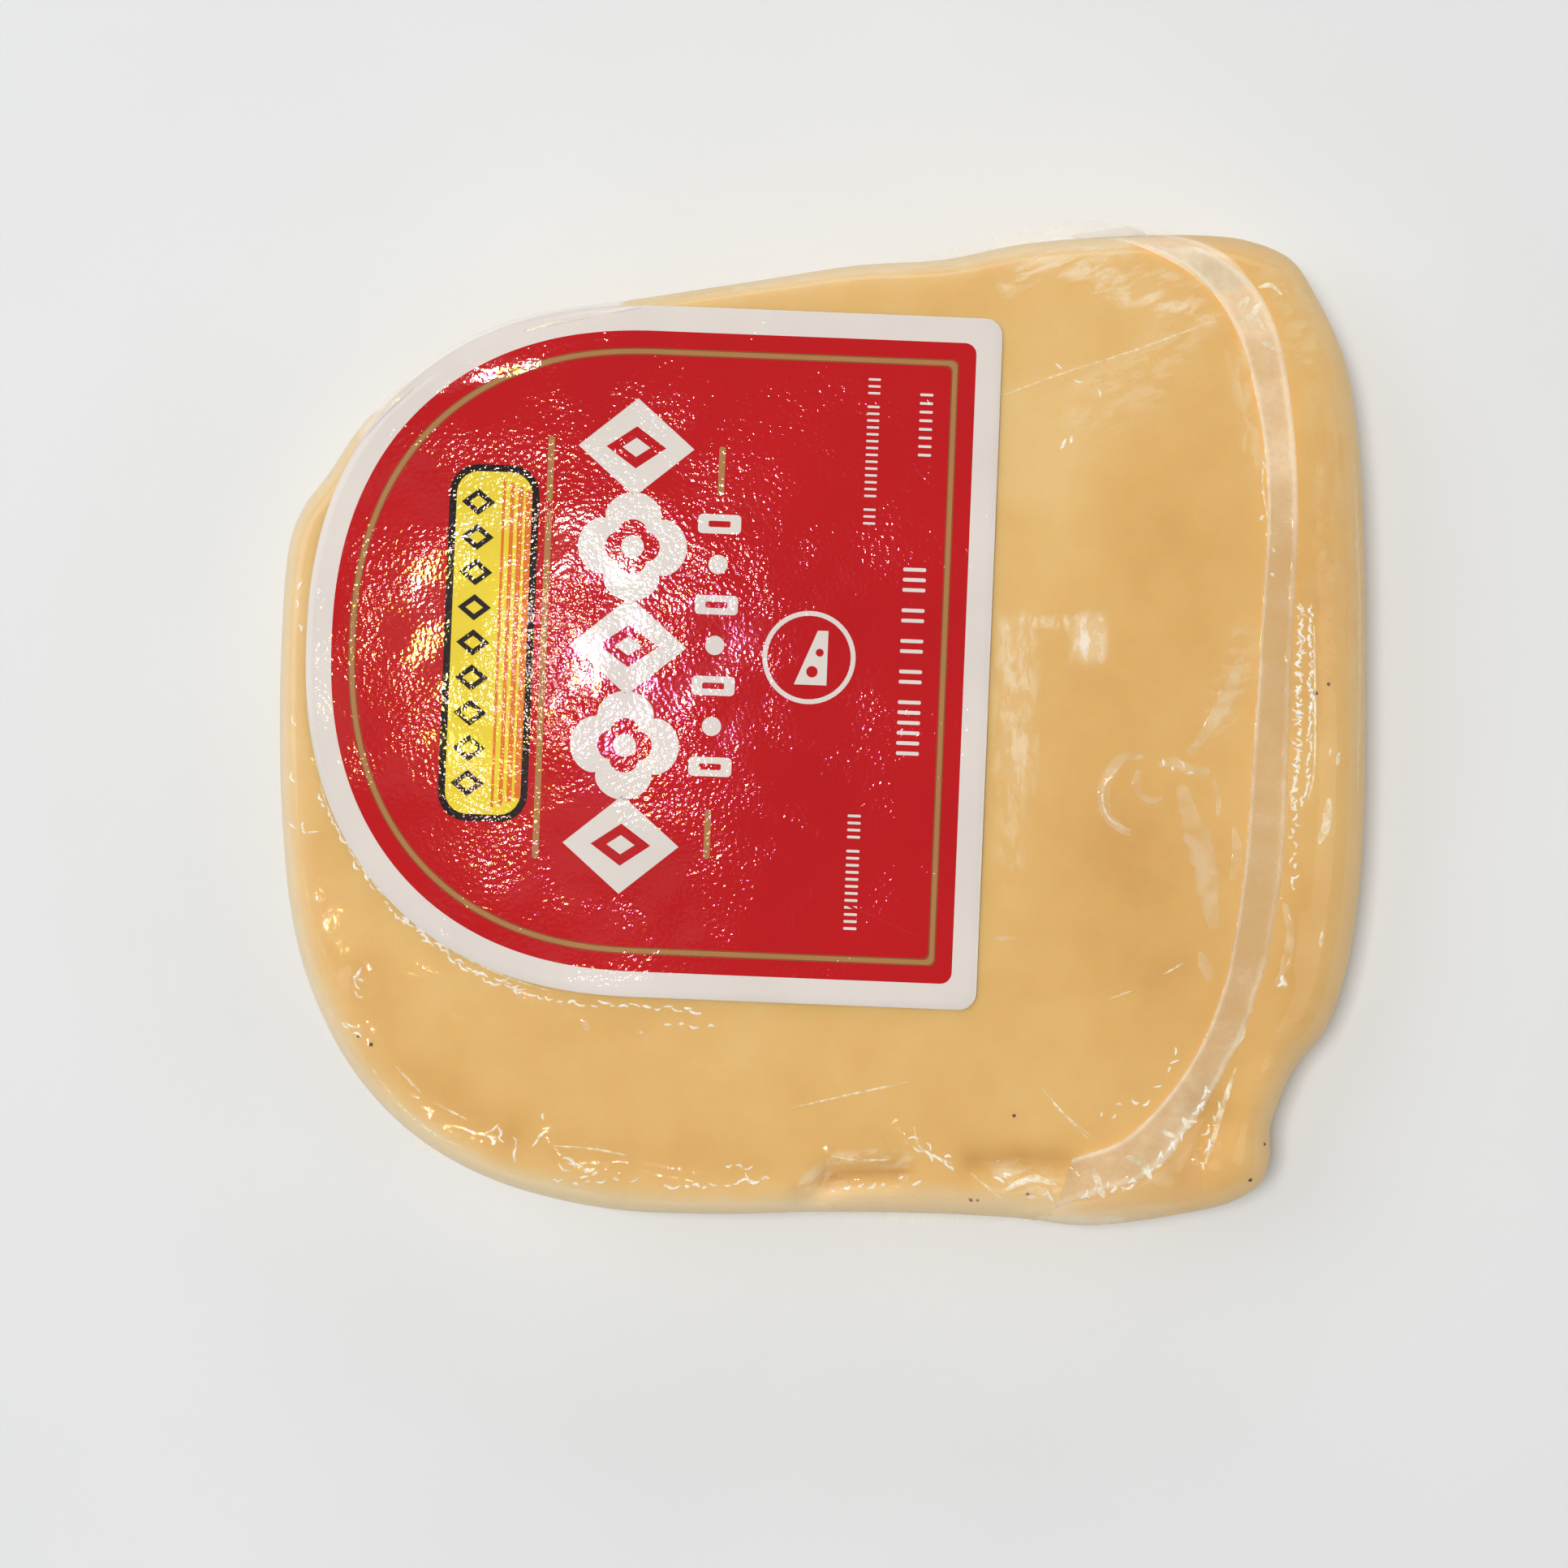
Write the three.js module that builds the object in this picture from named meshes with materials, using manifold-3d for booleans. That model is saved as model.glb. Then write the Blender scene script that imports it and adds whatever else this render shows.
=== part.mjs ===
// A slab of semi-hard cheese, shut in clear vacuum film, with an arch-shaped paper label.
// Millimetres, +Z up. The slab lies flat on its base with the label up, and the top of the
// label points to -X. The origin is under the middle of the pack, on the surface it lies on.

import * as THREE from 'three';
import { mergeVertices } from 'three/addons/utils/BufferGeometryUtils.js';
import Module from 'manifold-3d';

// ---- driving dimensions ---------------------------------------------------------------

const thickness = 22;           // base to the upper face at its middle
const widestHeight = 10.5;      // height at which the sides stand furthest out
const crown = 0.7;              // fall of the upper face from its middle to its rim
const rimPower = 2.5;           // 2 is an elliptic shoulder, higher is squarer
const baseInset = 5.5;          // how far the flat base stays inside the widest outline

const filmThickness = 0.5;      // loose film edges
const topFringeHeight = 12.5;
const bottomFringeHeight = 9.5;

const labelLength = 77.8;       // along the label's own up direction
const labelWidth = 78.7;
const labelThickness = 0.25;
const labelCornerRadius = 2;
const labelTurn = -2.3;         // degrees, seen from above
const labelCentre = [-20.1, 8.1];
const archPower = 2.29;         // superellipse of the label's arch
const labelFollows = 0.5;       // share of the shoulder's fall that the label bends down

const stripThickness = 0.4;     // the heat seal is several layers of film
const stripFollows = 0.94;      // share of the shoulder's fall that the seal bends down
const clearance = 0.3;          // between pieces that rest on each other

const outlineSegments = 132;    // columns of the slab's mesh
const outlineDetail = 4;        // finer steps used for distances to the outline

// The slab's widest outline, anticlockwise from the middle of the left side.
// Each point is [x, y, width of the rounded shoulder inside it].
const leftSide = [[-63, -3.6, 3], [-62.6, -13.5, 3.2], [-61.9, -21, 3.8], [-60.1, -29, 4.6]];
const bottomLeftCorner = [[-55.7, -38.6, 5], [-50, -45.6, 4.6], [-43.7, -50.3, 4.4]];
const bottomSide = [
    [-36.3, -53.7, 4.6], [-25.1, -56.3, 5.2], [-13, -56.9, 4], [0, -56.7, 4.6],
    [13.3, -56.9, 5], [22, -57.4, 5.5], [30.6, -58.3, 6], [41.5, -57, 6.5],
];
const bottomRightCorner = [[47.2, -55.7, 7], [50.9, -53.4, 7], [52, -50.3, 7]];
const notch = [[52, -46.9, 7], [54.7, -40.1, 7.5], [58.2, -35.8, 8], [60.5, -30, 8.5]];
const rightSide = [[62.2, -20.4, 9], [62.9, -9, 9.2], [63, 5, 9.2], [62.9, 19, 9.2], [62.3, 31.5, 8.8]];
const topRightCorner = [[60.6, 42.2, 8.2], [57.4, 49.3, 7.6], [54.3, 53.9, 7], [49.2, 56.1, 6]];
const topSide = [
    [43.7, 56.7, 5], [33.7, 56.5, 4.4], [22.9, 55.6, 4.2], [13.8, 53.8, 4],
    [3.8, 53.1, 3.6], [-7.1, 51.4, 3.2], [-20, 49.4, 3],
];
const labelCorner = [[-34.6, 47.1, 3], [-42, 44.2, 3], [-48, 40, 3], [-53.6, 34.4, 3]];
const chamfer = [[-57.3, 29, 3.2], [-60.4, 24.8, 3.2], [-61.9, 20.6, 3], [-62.8, 9, 2.8]];

// Hollows in the upper face: a line from start to end, half width and depth.
const hollows = [
    { start: [40.5, -52], end: [44, -45.5], width: 3, depth: 1.6 },     // beside the seal
    { start: [44, -45.5], end: [48, -37.5], width: 2.6, depth: 1.1 },
    { start: [-2.7, -55.5], end: [0.4, -52.2], width: 1.5, depth: 1.6 },  // tuck in the film
    { start: [0.4, -52.2], end: [8, -51.2], width: 1.5, depth: 1.4 },
    { start: [17, -50.2], end: [27.5, -50.2], width: 2, depth: 0.9 },
];

// Soft places where the face sinks or swells: centre, radius and height change.
const swells = [
    { centre: [50, -50.5], radius: 8, height: -1.6 },
    { centre: [57, -28], radius: 9, height: -0.8 },
    { centre: [-55, -18], radius: 8, height: -0.5 },
    { centre: [30, 22], radius: 24, height: 0.3 },
];

// Loose film edges outside the slab, each as the run of its outer edge.
const topFringeEdge = [
    [8, 53.6], [13.8, 55], [18.5, 56.3], [24.5, 57.9], [29.8, 58.7], [36.3, 58], [43.5, 56.8],
];
const bottomFringeEdge = [[26, -58.1], [18.7, -58.6], [13.3, -58.5], [2.4, -57.7], [-9, -57.2]];
const cornerFringeEdge = [[-42.5, -50.9], [-46.6, -50.3], [-49, -48.3], [-49.8, -45.6]];
const fringeRoot = 4;           // how far a loose edge reaches into the slab

// Inner and outer edge of the folded heat seal, from the top side round to its cut end.
const stripInnerEdge = [
    [36.2, 54.6], [42.4, 50.9], [46.8, 44.8], [49.6, 34.5], [50.4, 25], [49.8, 13],
    [48.9, -1], [47.5, -18.5], [45, -31.6], [40.4, -40.8], [34, -47.4], [28.2, -49.6],
];
const stripOuterEdge = [
    [43, 54.2], [48.2, 50.6], [51.4, 45], [53.3, 34.5], [53.9, 23], [53.4, 12],
    [52.9, -2], [52, -18.5], [49.2, -31.6], [44.6, -41.4], [37.5, -51.2], [26.4, -55.4],
];

// ---- the slab's form as functions -----------------------------------------------------

const outlinePoints = [
    ...leftSide, ...bottomLeftCorner, ...bottomSide, ...bottomRightCorner, ...notch,
    ...rightSide, ...topRightCorner, ...topSide, ...labelCorner, ...chamfer,
].map(([x, y, shoulder]) => new THREE.Vector3(x, y, shoulder));
const outlineCurve = new THREE.CatmullRomCurve3(outlinePoints, true, 'centripetal');
// Samples of the outline: x and y in the plane, z holds the shoulder's width.
const outline = outlineCurve.getSpacedPoints(outlineSegments * outlineDetail).slice(0, -1);

// Distance from a point inside the slab to its outline, and the shoulder there.
function nearestEdge(x, y) {
    let nearest = { distance: Infinity, shoulder: 0 };
    for (let i = 0; i < outline.length; i++) {
        const from = outline[i];
        const to = outline[(i + 1) % outline.length];
        const runX = to.x - from.x;
        const runY = to.y - from.y;
        const along = ((x - from.x) * runX + (y - from.y) * runY) / (runX * runX + runY * runY);
        const share = THREE.MathUtils.clamp(along, 0, 1);
        const distance = Math.hypot(x - from.x - share * runX, y - from.y - share * runY);
        if (distance < nearest.distance) {
            nearest = { distance, shoulder: THREE.MathUtils.lerp(from.z, to.z, share) };
        }
    }
    return nearest;
}

function distanceToLine(x, y, [startX, startY], [endX, endY]) {
    const runX = endX - startX;
    const runY = endY - startY;
    const along = ((x - startX) * runX + (y - startY) * runY) / (runX * runX + runY * runY);
    const share = THREE.MathUtils.clamp(along, 0, 1);
    return Math.hypot(x - startX - share * runX, y - startY - share * runY);
}

// Height of the upper face before its hollows are sunk and its shoulder falls away.
function faceHeight(x, y) {
    let height = thickness - crown * (x * x + y * y) / (60 * 60);
    for (const { centre, radius, height: change } of swells) {
        const away = Math.hypot(x - centre[0], y - centre[1]) / radius;
        height += change * Math.exp(-away * away);
    }
    return height;
}

function hollowDepth(x, y) {
    let sunk = 0;
    for (const { start, end, width, depth } of hollows) {
        const away = distanceToLine(x, y, start, end) / width;
        sunk += depth * Math.exp(-away * away);
    }
    return sunk;
}

// Share of the way up the shoulder, from 0 on the outline to 1 on the face.
function shoulderRise(x, y) {
    const { distance, shoulder } = nearestEdge(x, y);
    const inward = Math.min(distance / shoulder, 1);
    return (1 - (1 - inward) ** rimPower) ** (1 / rimPower);
}

// Height of the upper surface, shoulder included, at any point inside the outline.
function upperHeight(x, y) {
    const face = faceHeight(x, y) - hollowDepth(x, y);
    return widestHeight + (face - widestHeight) * shoulderRise(x, y);
}

// Height of a sheet laid on the upper surface: it bridges the hollows and, being stiff,
// follows only a share of the shoulder's fall.
function sheetHeight(x, y, followed) {
    const face = faceHeight(x, y);
    return face - (face - widestHeight) * (1 - shoulderRise(x, y)) * followed + clearance;
}

// ---- mesh helpers ---------------------------------------------------------------------

// A closed solid from loops of points: a fan at the first loop, bands between the loops and
// a fan at the last. Loops run anticlockwise seen from the side that the last fan faces.
function solidFromLoops(firstCentre, loops, lastCentre) {
    const count = loops[0].length;
    const positions = [firstCentre, ...loops.flat(), lastCentre].flatMap((p) => [p.x, p.y, p.z]);
    const last = loops.length * count + 1;
    const triangles = [];
    for (let i = 0; i < count; i++) {
        const next = (i + 1) % count;
        triangles.push(0, 1 + next, 1 + i);
        triangles.push(last, last - count + i, last - count + next);
        for (let ring = 0; ring < loops.length - 1; ring++) {
            const low = 1 + ring * count;
            const high = low + count;
            triangles.push(low + i, low + next, high + next, low + i, high + next, high + i);
        }
    }
    const geometry = new THREE.BufferGeometry();
    geometry.setAttribute('position', new THREE.Float32BufferAttribute(positions, 3));
    geometry.setIndex(triangles);
    return geometry;
}

const wasm = await Module();
wasm.setup();

function toManifold(source) {
    const bare = source.clone();
    bare.deleteAttribute('normal');
    bare.deleteAttribute('uv');
    const merged = mergeVertices(bare, 1e-4);
    return new wasm.Manifold(new wasm.Mesh({
        numProp: 3,
        vertProperties: new Float32Array(merged.attributes.position.array),
        triVerts: new Uint32Array(merged.index.array),
    }));
}

function fromManifold(solid) {
    const { vertProperties, triVerts } = solid.getMesh();
    const geometry = new THREE.BufferGeometry();
    geometry.setAttribute('position', new THREE.Float32BufferAttribute(vertProperties, 3));
    geometry.setIndex([...triVerts]);
    return geometry;
}

function meshOf(name, geometry, color, roughness) {
    geometry.computeVertexNormals();
    const material = new THREE.MeshStandardMaterial({ color, roughness, metalness: 0 });
    const mesh = new THREE.Mesh(geometry, material);
    mesh.name = name;
    return mesh;
}

// ---- the slab -------------------------------------------------------------------------

const middle = new THREE.Vector3(0, 0, 0);

// The outline drawn in towards the middle by a distance, at a given height.
function loopAt(inset, heightAt) {
    const columns = outline.filter((point, index) => index % outlineDetail === 0);
    return columns.map((edge) => {
        const radius = Math.hypot(edge.x, edge.y);
        const share = (radius - inset(edge)) / radius;
        const x = edge.x * share;
        const y = edge.y * share;
        return new THREE.Vector3(x, y, heightAt(x, y));
    });
}

function buildSlab() {
    const baseSteps = [0, 25, 50, 70];                    // degrees round the lower shoulder
    const shoulderSteps = [0.03, 0.1, 0.24, 0.45, 0.75, 1.1];   // shares of the upper shoulder
    const faceSteps = [0.82, 0.66, 0.48, 0.3, 0.14];      // shares of the way to the middle
    const flat = (height) => () => height;

    const loops = [loopAt((edge) => 0.5 * Math.hypot(edge.x, edge.y), flat(0))];
    for (const degrees of baseSteps) {
        const angle = THREE.MathUtils.degToRad(degrees);
        const inset = baseInset * (1 - Math.sin(angle));
        loops.push(loopAt(() => inset, flat(widestHeight * (1 - Math.cos(angle)))));
    }
    loops.push(loopAt(() => 0, flat(widestHeight)));
    for (const share of shoulderSteps) {
        loops.push(loopAt((edge) => share * edge.z, upperHeight));
    }
    for (const share of faceSteps) {
        loops.push(loopAt((edge) => (1 - share) * Math.hypot(edge.x, edge.y), upperHeight));
    }
    const top = new THREE.Vector3(0, 0, upperHeight(0, 0));
    return solidFromLoops(middle, loops, top);
}

// A loose film edge: a thin plate from inside the slab out to the run of its edge.
function buildFringe(edge, height) {
    const run = new THREE.SplineCurve(edge.map(([x, y]) => new THREE.Vector2(x, y)));
    const outer = run.getPoints(edge.length * 3);
    const root = [...outer].reverse().map((p) => p.clone().setLength(p.length() - fringeRoot));
    const plate = new THREE.ExtrudeGeometry(new THREE.Shape([...outer, ...root]), {
        depth: filmThickness,
        bevelEnabled: false,
    });
    plate.translate(0, 0, height);
    return plate;
}

function buildPack() {
    let solid = toManifold(buildSlab());
    solid = solid.add(toManifold(buildFringe(topFringeEdge, topFringeHeight)));
    solid = solid.add(toManifold(buildFringe(bottomFringeEdge, bottomFringeHeight)));
    solid = solid.add(toManifold(buildFringe(cornerFringeEdge, bottomFringeHeight)));
    return meshOf('pack', fromManifold(solid), 0xdeb46e, 0.35);
}

// ---- the label ------------------------------------------------------------------------

// The label's outline in its own axes: an arch to -u, a straight foot with round corners.
function labelOutline() {
    const halfLength = labelLength / 2;
    const halfWidth = labelWidth / 2;
    const archSteps = 36;
    const cornerSteps = 4;
    const footSteps = 8;
    const points = [];
    for (let i = 0; i <= cornerSteps; i++) {
        const angle = (Math.PI / 2) * (i / cornerSteps);
        points.push(new THREE.Vector2(
            halfLength - labelCornerRadius * (1 - Math.sin(angle)),
            -halfWidth + labelCornerRadius * (1 - Math.cos(angle)),
        ));
    }
    for (let i = 1; i < footSteps; i++) {
        const place = (halfWidth - labelCornerRadius) * (2 * i / footSteps - 1);
        points.push(new THREE.Vector2(halfLength, place));
    }
    for (let i = 0; i <= cornerSteps; i++) {
        const angle = (Math.PI / 2) * (i / cornerSteps);
        points.push(new THREE.Vector2(
            halfLength - labelCornerRadius * (1 - Math.cos(angle)),
            halfWidth - labelCornerRadius * (1 - Math.sin(angle)),
        ));
    }
    for (let i = 0; i <= archSteps; i++) {
        const angle = Math.PI * (i / archSteps);
        points.push(new THREE.Vector2(
            -halfLength * Math.sin(angle) ** (2 / archPower),
            halfWidth * Math.sign(Math.cos(angle)) * Math.abs(Math.cos(angle)) ** (2 / archPower),
        ));
    }
    return points;
}

function buildLabel() {
    const turn = THREE.MathUtils.degToRad(labelTurn);
    const rings = [0.35, 0.7, 0.87, 0.92, 0.96, 1];
    const centre = new THREE.Vector2(...labelCentre);
    const loopOf = (share, lift) => labelOutline().map((point) => {
        const place = point.clone().multiplyScalar(share).rotateAround(new THREE.Vector2(), turn);
        place.add(centre);
        const height = sheetHeight(place.x, place.y, labelFollows) + lift;
        return new THREE.Vector3(place.x, place.y, height);
    });
    const loops = [
        ...rings.map((share) => loopOf(share, 0)),
        ...[...rings].reverse().map((share) => loopOf(share, labelThickness)),
    ];
    const underHeight = sheetHeight(centre.x, centre.y, labelFollows);
    const under = new THREE.Vector3(centre.x, centre.y, underHeight);
    const over = under.clone().setZ(under.z + labelThickness);
    return meshOf('label', solidFromLoops(under, loops, over), 0xc1262a, 0.4);
}

// ---- the folded heat seal -------------------------------------------------------------

function buildSealStrip() {
    const stations = 60;
    const across = 4;
    const curveOf = (points) => new THREE.CatmullRomCurve3(
        points.map(([x, y]) => new THREE.Vector3(x, y, 0)), false, 'centripetal');
    const inner = curveOf(stripInnerEdge);
    const outer = curveOf(stripOuterEdge);
    const loops = [];
    for (let i = 0; i <= stations; i++) {
        const innerPoint = inner.getPoint(i / stations);
        const outerPoint = outer.getPoint(i / stations);
        const under = [];
        for (let k = 0; k <= across; k++) {
            const place = innerPoint.clone().lerp(outerPoint, k / across);
            place.z = sheetHeight(place.x, place.y, stripFollows);
            under.push(place);
        }
        const over = under.map((p) => p.clone().setZ(p.z + stripThickness));
        loops.push([...under, ...over.reverse()]);
    }
    const centreOf = (loop) => loop.reduce((sum, p) => sum.add(p), new THREE.Vector3())
        .divideScalar(loop.length);
    const geometry = solidFromLoops(centreOf(loops[0]), loops, centreOf(loops[stations]));
    return meshOf('seal_strip', geometry, 0xd6b287, 0.3);
}

// ---- the whole ------------------------------------------------------------------------

const model = new THREE.Group();
model.add(buildPack(), buildLabel(), buildSealStrip());

export default model;
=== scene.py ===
"""A film-packed cheese slab with an arch-shaped label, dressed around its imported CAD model.

Sizes are in millimetres and become metres where a mesh, light or texture is made. +Z is up, the slab lies
on z = 0, and the top of the label points to -X.
"""

import math
import random

import bpy
import numpy as np
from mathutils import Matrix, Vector, noise


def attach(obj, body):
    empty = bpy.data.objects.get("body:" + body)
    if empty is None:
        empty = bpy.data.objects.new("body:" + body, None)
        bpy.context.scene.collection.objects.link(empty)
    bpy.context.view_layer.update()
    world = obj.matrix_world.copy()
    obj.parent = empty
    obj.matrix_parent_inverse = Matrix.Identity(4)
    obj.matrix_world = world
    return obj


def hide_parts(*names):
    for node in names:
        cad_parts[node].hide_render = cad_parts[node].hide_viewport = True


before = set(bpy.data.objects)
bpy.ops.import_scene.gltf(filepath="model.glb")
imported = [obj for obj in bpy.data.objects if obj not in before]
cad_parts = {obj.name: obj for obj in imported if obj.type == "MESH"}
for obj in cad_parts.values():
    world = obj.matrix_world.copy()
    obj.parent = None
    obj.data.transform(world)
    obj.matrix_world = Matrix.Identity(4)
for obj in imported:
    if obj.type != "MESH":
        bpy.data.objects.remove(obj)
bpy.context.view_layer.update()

MM = 0.001
SHARP_FROM = math.radians(50)       # edges that turn by more are sharp

# ---- sizes of the slab, as in its CAD model ------------------------------------------------------

THICKNESS = 22.0
WIDEST_HEIGHT = 10.5
CROWN = 0.7
CROWN_REACH = 60.0
RIM_POWER = 2.5
BASE_INSET = 5.5

# The widest outline, anticlockwise from the middle of the left side: x, y and the shoulder's width.
OUTLINE = {
    "left side": [(-63, -3.6, 3), (-62.6, -13.5, 3.2), (-61.9, -21, 3.8), (-60.1, -29, 4.6)],
    "bottom left": [(-55.7, -38.6, 5), (-50, -45.6, 4.6), (-43.7, -50.3, 4.4)],
    "bottom side": [
        (-36.3, -53.7, 4.6), (-25.1, -56.3, 5.2), (-13, -56.9, 4), (0, -56.7, 4.6),
        (13.3, -56.9, 5), (22, -57.4, 5.5), (30.6, -58.3, 6), (41.5, -57, 6.5),
    ],
    "bottom right": [(47.2, -55.7, 7), (50.9, -53.4, 7), (52, -50.3, 7)],
    "notch": [(52, -46.9, 7), (54.7, -40.1, 7.5), (58.2, -35.8, 8), (60.5, -30, 8.5)],
    "right side": [
        (62.2, -20.4, 9), (62.9, -9, 9.2), (63, 5, 9.2), (62.9, 19, 9.2), (62.3, 31.5, 8.8),
    ],
    "top right": [(60.6, 42.2, 8.2), (57.4, 49.3, 7.6), (54.3, 53.9, 7), (49.2, 56.1, 6)],
    "top side": [
        (43.7, 56.7, 5), (33.7, 56.5, 4.4), (22.9, 55.6, 4.2), (13.8, 53.8, 4),
        (3.8, 53.1, 3.6), (-7.1, 51.4, 3.2), (-20, 49.4, 3),
    ],
    "under the label": [(-34.6, 47.1, 3), (-42, 44.2, 3), (-48, 40, 3), (-53.6, 34.4, 3)],
    "chamfer": [(-57.3, 29, 3.2), (-60.4, 24.8, 3.2), (-61.9, 20.6, 3), (-62.8, 9, 2.8)],
}

# Hollows in the upper face: points, half width and depth.
HOLLOWS = [
    ([(40.5, -52), (44, -45.5)], 3, 1.6),
    ([(44, -45.5), (48, -37.5)], 2.6, 1.1),
    ([(-2.7, -55.5), (0.4, -52.2)], 1.5, 1.6),
    ([(0.4, -52.2), (8, -51.2)], 1.5, 1.4),
    ([(17, -50.2), (27.5, -50.2)], 2, 0.9),
]

# Places where the face sinks or swells: centre, radius and height change.
SWELLS = [
    ((50, -50.5), 8, -1.6),
    ((57, -28), 9, -0.8),
    ((-55, -18), 8, -0.5),
    ((30, 22), 24, 0.3),
]

LABEL_LENGTH = 77.8
LABEL_WIDTH = 78.7
LABEL_CENTRE = (-20.1, 8.1)
LABEL_TURN = math.radians(-2.3)
LABEL_COS, LABEL_SIN = math.cos(LABEL_TURN), math.sin(LABEL_TURN)
LABEL_FOLLOWS = 0.5             # share of the shoulder's fall that the label bends down by
ARCH_POWER = 2.29

STRIP_FOLLOWS = 0.94
STRIP_INNER_EDGE = [
    (36.2, 54.6), (42.4, 50.9), (46.8, 44.8), (49.6, 34.5), (50.4, 25), (49.8, 13),
    (48.9, -1), (47.5, -18.5), (45, -31.6), (40.4, -40.8), (34, -47.4), (28.2, -49.6),
]
STRIP_OUTER_EDGE = [
    (43, 54.2), (48.2, 50.6), (51.4, 45), (53.3, 34.5), (53.9, 23), (53.4, 12),
    (52.9, -2), (52, -18.5), (49.2, -31.6), (44.6, -41.4), (37.5, -51.2), (26.4, -55.4),
]

# How pale the strip is at each y, from its lower end to its upper one.
STRIP_PALE_AT = [-55, -46, -38, -20, 18, 30, 40, 48]
STRIP_PALE = [0.15, 0.38, 0.22, -0.06, 0.02, 0.60, 0.48, 0.66]

TOP_FRINGE_HEIGHT = 12.7
BOTTOM_FRINGE_HEIGHT = 9.7

# The film's loose edges: outer edge, height, how far in from it they reach, and the seed of their waves.
FRINGES = {
    "top": (
        [(8, 53.6), (13.8, 55), (18.5, 56.3), (24.5, 57.9), (29.8, 58.65), (36.3, 58), (43.5, 56.8)],
        TOP_FRINGE_HEIGHT, 3.2, 41.5,
    ),
    "bottom": (
        [(26, -58.1), (18.7, -58.55), (13.3, -58.5), (2.4, -57.7), (-9, -57.2)],
        BOTTOM_FRINGE_HEIGHT, 2.6, 47.5,
    ),
    "corner": (
        [(-42.5, -50.9), (-46.6, -50.3), (-49, -48.3), (-49.8, -45.6)],
        BOTTOM_FRINGE_HEIGHT, 2.8, 53.5,
    ),
}

# Thin flaps that run on from the strip over the shoulder: inner edge, outer edge, least height, and how pale
# they are at equal steps along their way.
FLAPS = {
    "top": (
        [(28.6, 56.4), (33.7, 55.2), (38.3, 53.2), (42.0, 50.9), (44.0, 49.0)],
        [(35.4, 57.2), (40.0, 56.1), (43.6, 54.8), (46.9, 52.4), (49.0, 49.8)],
        TOP_FRINGE_HEIGHT, (0.1, 0.6, 0.55, 0.1),
    ),
    "bottom": (
        [(42.4, -47.6), (38.6, -51.0), (32.4, -53.9), (26.6, -55.0)],
        [(43.4, -53.4), (39, -56.6), (32, -57.8), (25.4, -57.4)],
        WIDEST_HEIGHT, (0, 0.04, 0.08, 0.3),
    ),
}

# ---- sizes of the dressing -----------------------------------------------------------------------

CHEESE_UNDER = 0.18             # how far the cheese lies inside the film
FILM_UNDER = 0.04               # keeps the film just inside the slab's outline
FILM_FOLLOWS = 0.55             # share of each hollow's depth that the tight film follows

# The smooth waves of each surface: height, width and seed.
SHARED_WAVES = [(0.16, 17, 3.1), (0.08, 6, 7.7)]        # of the cheese, seen through the film
FILM_WAVES = [(0.035, 2.6, 1.9)]
SIDE_WAVES = [(1, 3.4, 8.8), (0.6, 11, 2.4)]            # as shares of a skin's side lumps
LABEL_WAVES = [(0.07, 13, 21.5), (0.015, 6, 23.5)]
STRIP_WAVES = [(0.12, 3.2, 33.5), (0.05, 1.2, 35.5)]
FLAP_WAVES = [(0.1, 2.4, 61.5)]

SHARED_FADE = 4                 # distance from the outline at which the cheese's waves are full
FILM_FADE = 3                   # and the film's
FOLD_RAGGED = 0.9               # how unevenly a fold's height varies, as a share of it
LEAST_FOLD = 0.001              # height under which a fold is left out
LABEL_GRIP = (0.985, 0.03)      # share of the label's reach where the film comes free, and how fast

SIDE_LUMPS = {"cheese": 0.1, "film": 0.22}      # depth of the dents down each skin's side

CHEESE_MESH = (420, 60)         # points round the slab, and loops over its face
FILM_MESH = (700, 96)

# The loops of a skin: under the slab, up its side by angle, and over the shoulder.
BASE_SHARES = (0.2, 0.45, 0.7)
SIDE_DEGREES = np.linspace(0, 86, 14)
SHOULDER_SHARES = np.linspace(0.08, 1, 15)
SHOULDER_CROWDING = 2.2         # draws the shoulder's loops together at the outline
SHOULDER_REACH = 1.1            # how far they run, in widths of the shoulder
FACE_END = 0.985                # share of the way to the middle that the last loop reaches

FRINGE_DENSITY = 3              # sections for each millimetre
FRINGE_THICKNESS = 0.12
FRINGE_LIFT = 0.3               # of its inner edge, and the height of its waves at the outer one
FRINGE_INSET = 0.12             # of its ragged outer edge, at the mean
FRINGE_RAGGED = 0.16

LABEL_LIFT = 0.2                # of its underside over the slab
LABEL_THICKNESS = 0.3
LABEL_BORDER = 2.9              # white margin round the red field
LINE_INSET = 1.95               # from the red field's edge to the bronze line
LINE_WIDTH = 0.83
LINE_EDGE = 0.15                # dark outline on each side of the bronze line
LINE_AT = LABEL_BORDER + LINE_INSET
LABEL_BEVEL = 0.08
LABEL_INKS = ["white", "red", "dark_bronze", "bronze"]

# The rings on the label's face from its edge inwards: inset, corner's radius, and the ink outside the ring.
LABEL_RINGS = [
    (0, 2.0, "white"),
    (0.12, 2.0, "white"),
    (1, 2.0, "white"),
    (2, 2.0, "white"),
    (LABEL_BORDER, 1.3, "white"),
    (LABEL_BORDER + 1, 1.3, "red"),
    (LINE_AT, 0.7, "red"),
    (LINE_AT + LINE_EDGE, 0.7, "dark_bronze"),
    (LINE_AT + LINE_WIDTH - LINE_EDGE, 0.7, "bronze"),
    (LINE_AT + LINE_WIDTH, 0.7, "dark_bronze"),
]
LABEL_UNDER_SHARES = (0.3, 0.6, 0.8, 0.92, 1)       # rings under it, as shares of its edge
LABEL_FACE_SHARES = np.linspace(0.975, 0.025, 39)   # and inside its innermost ring

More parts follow.
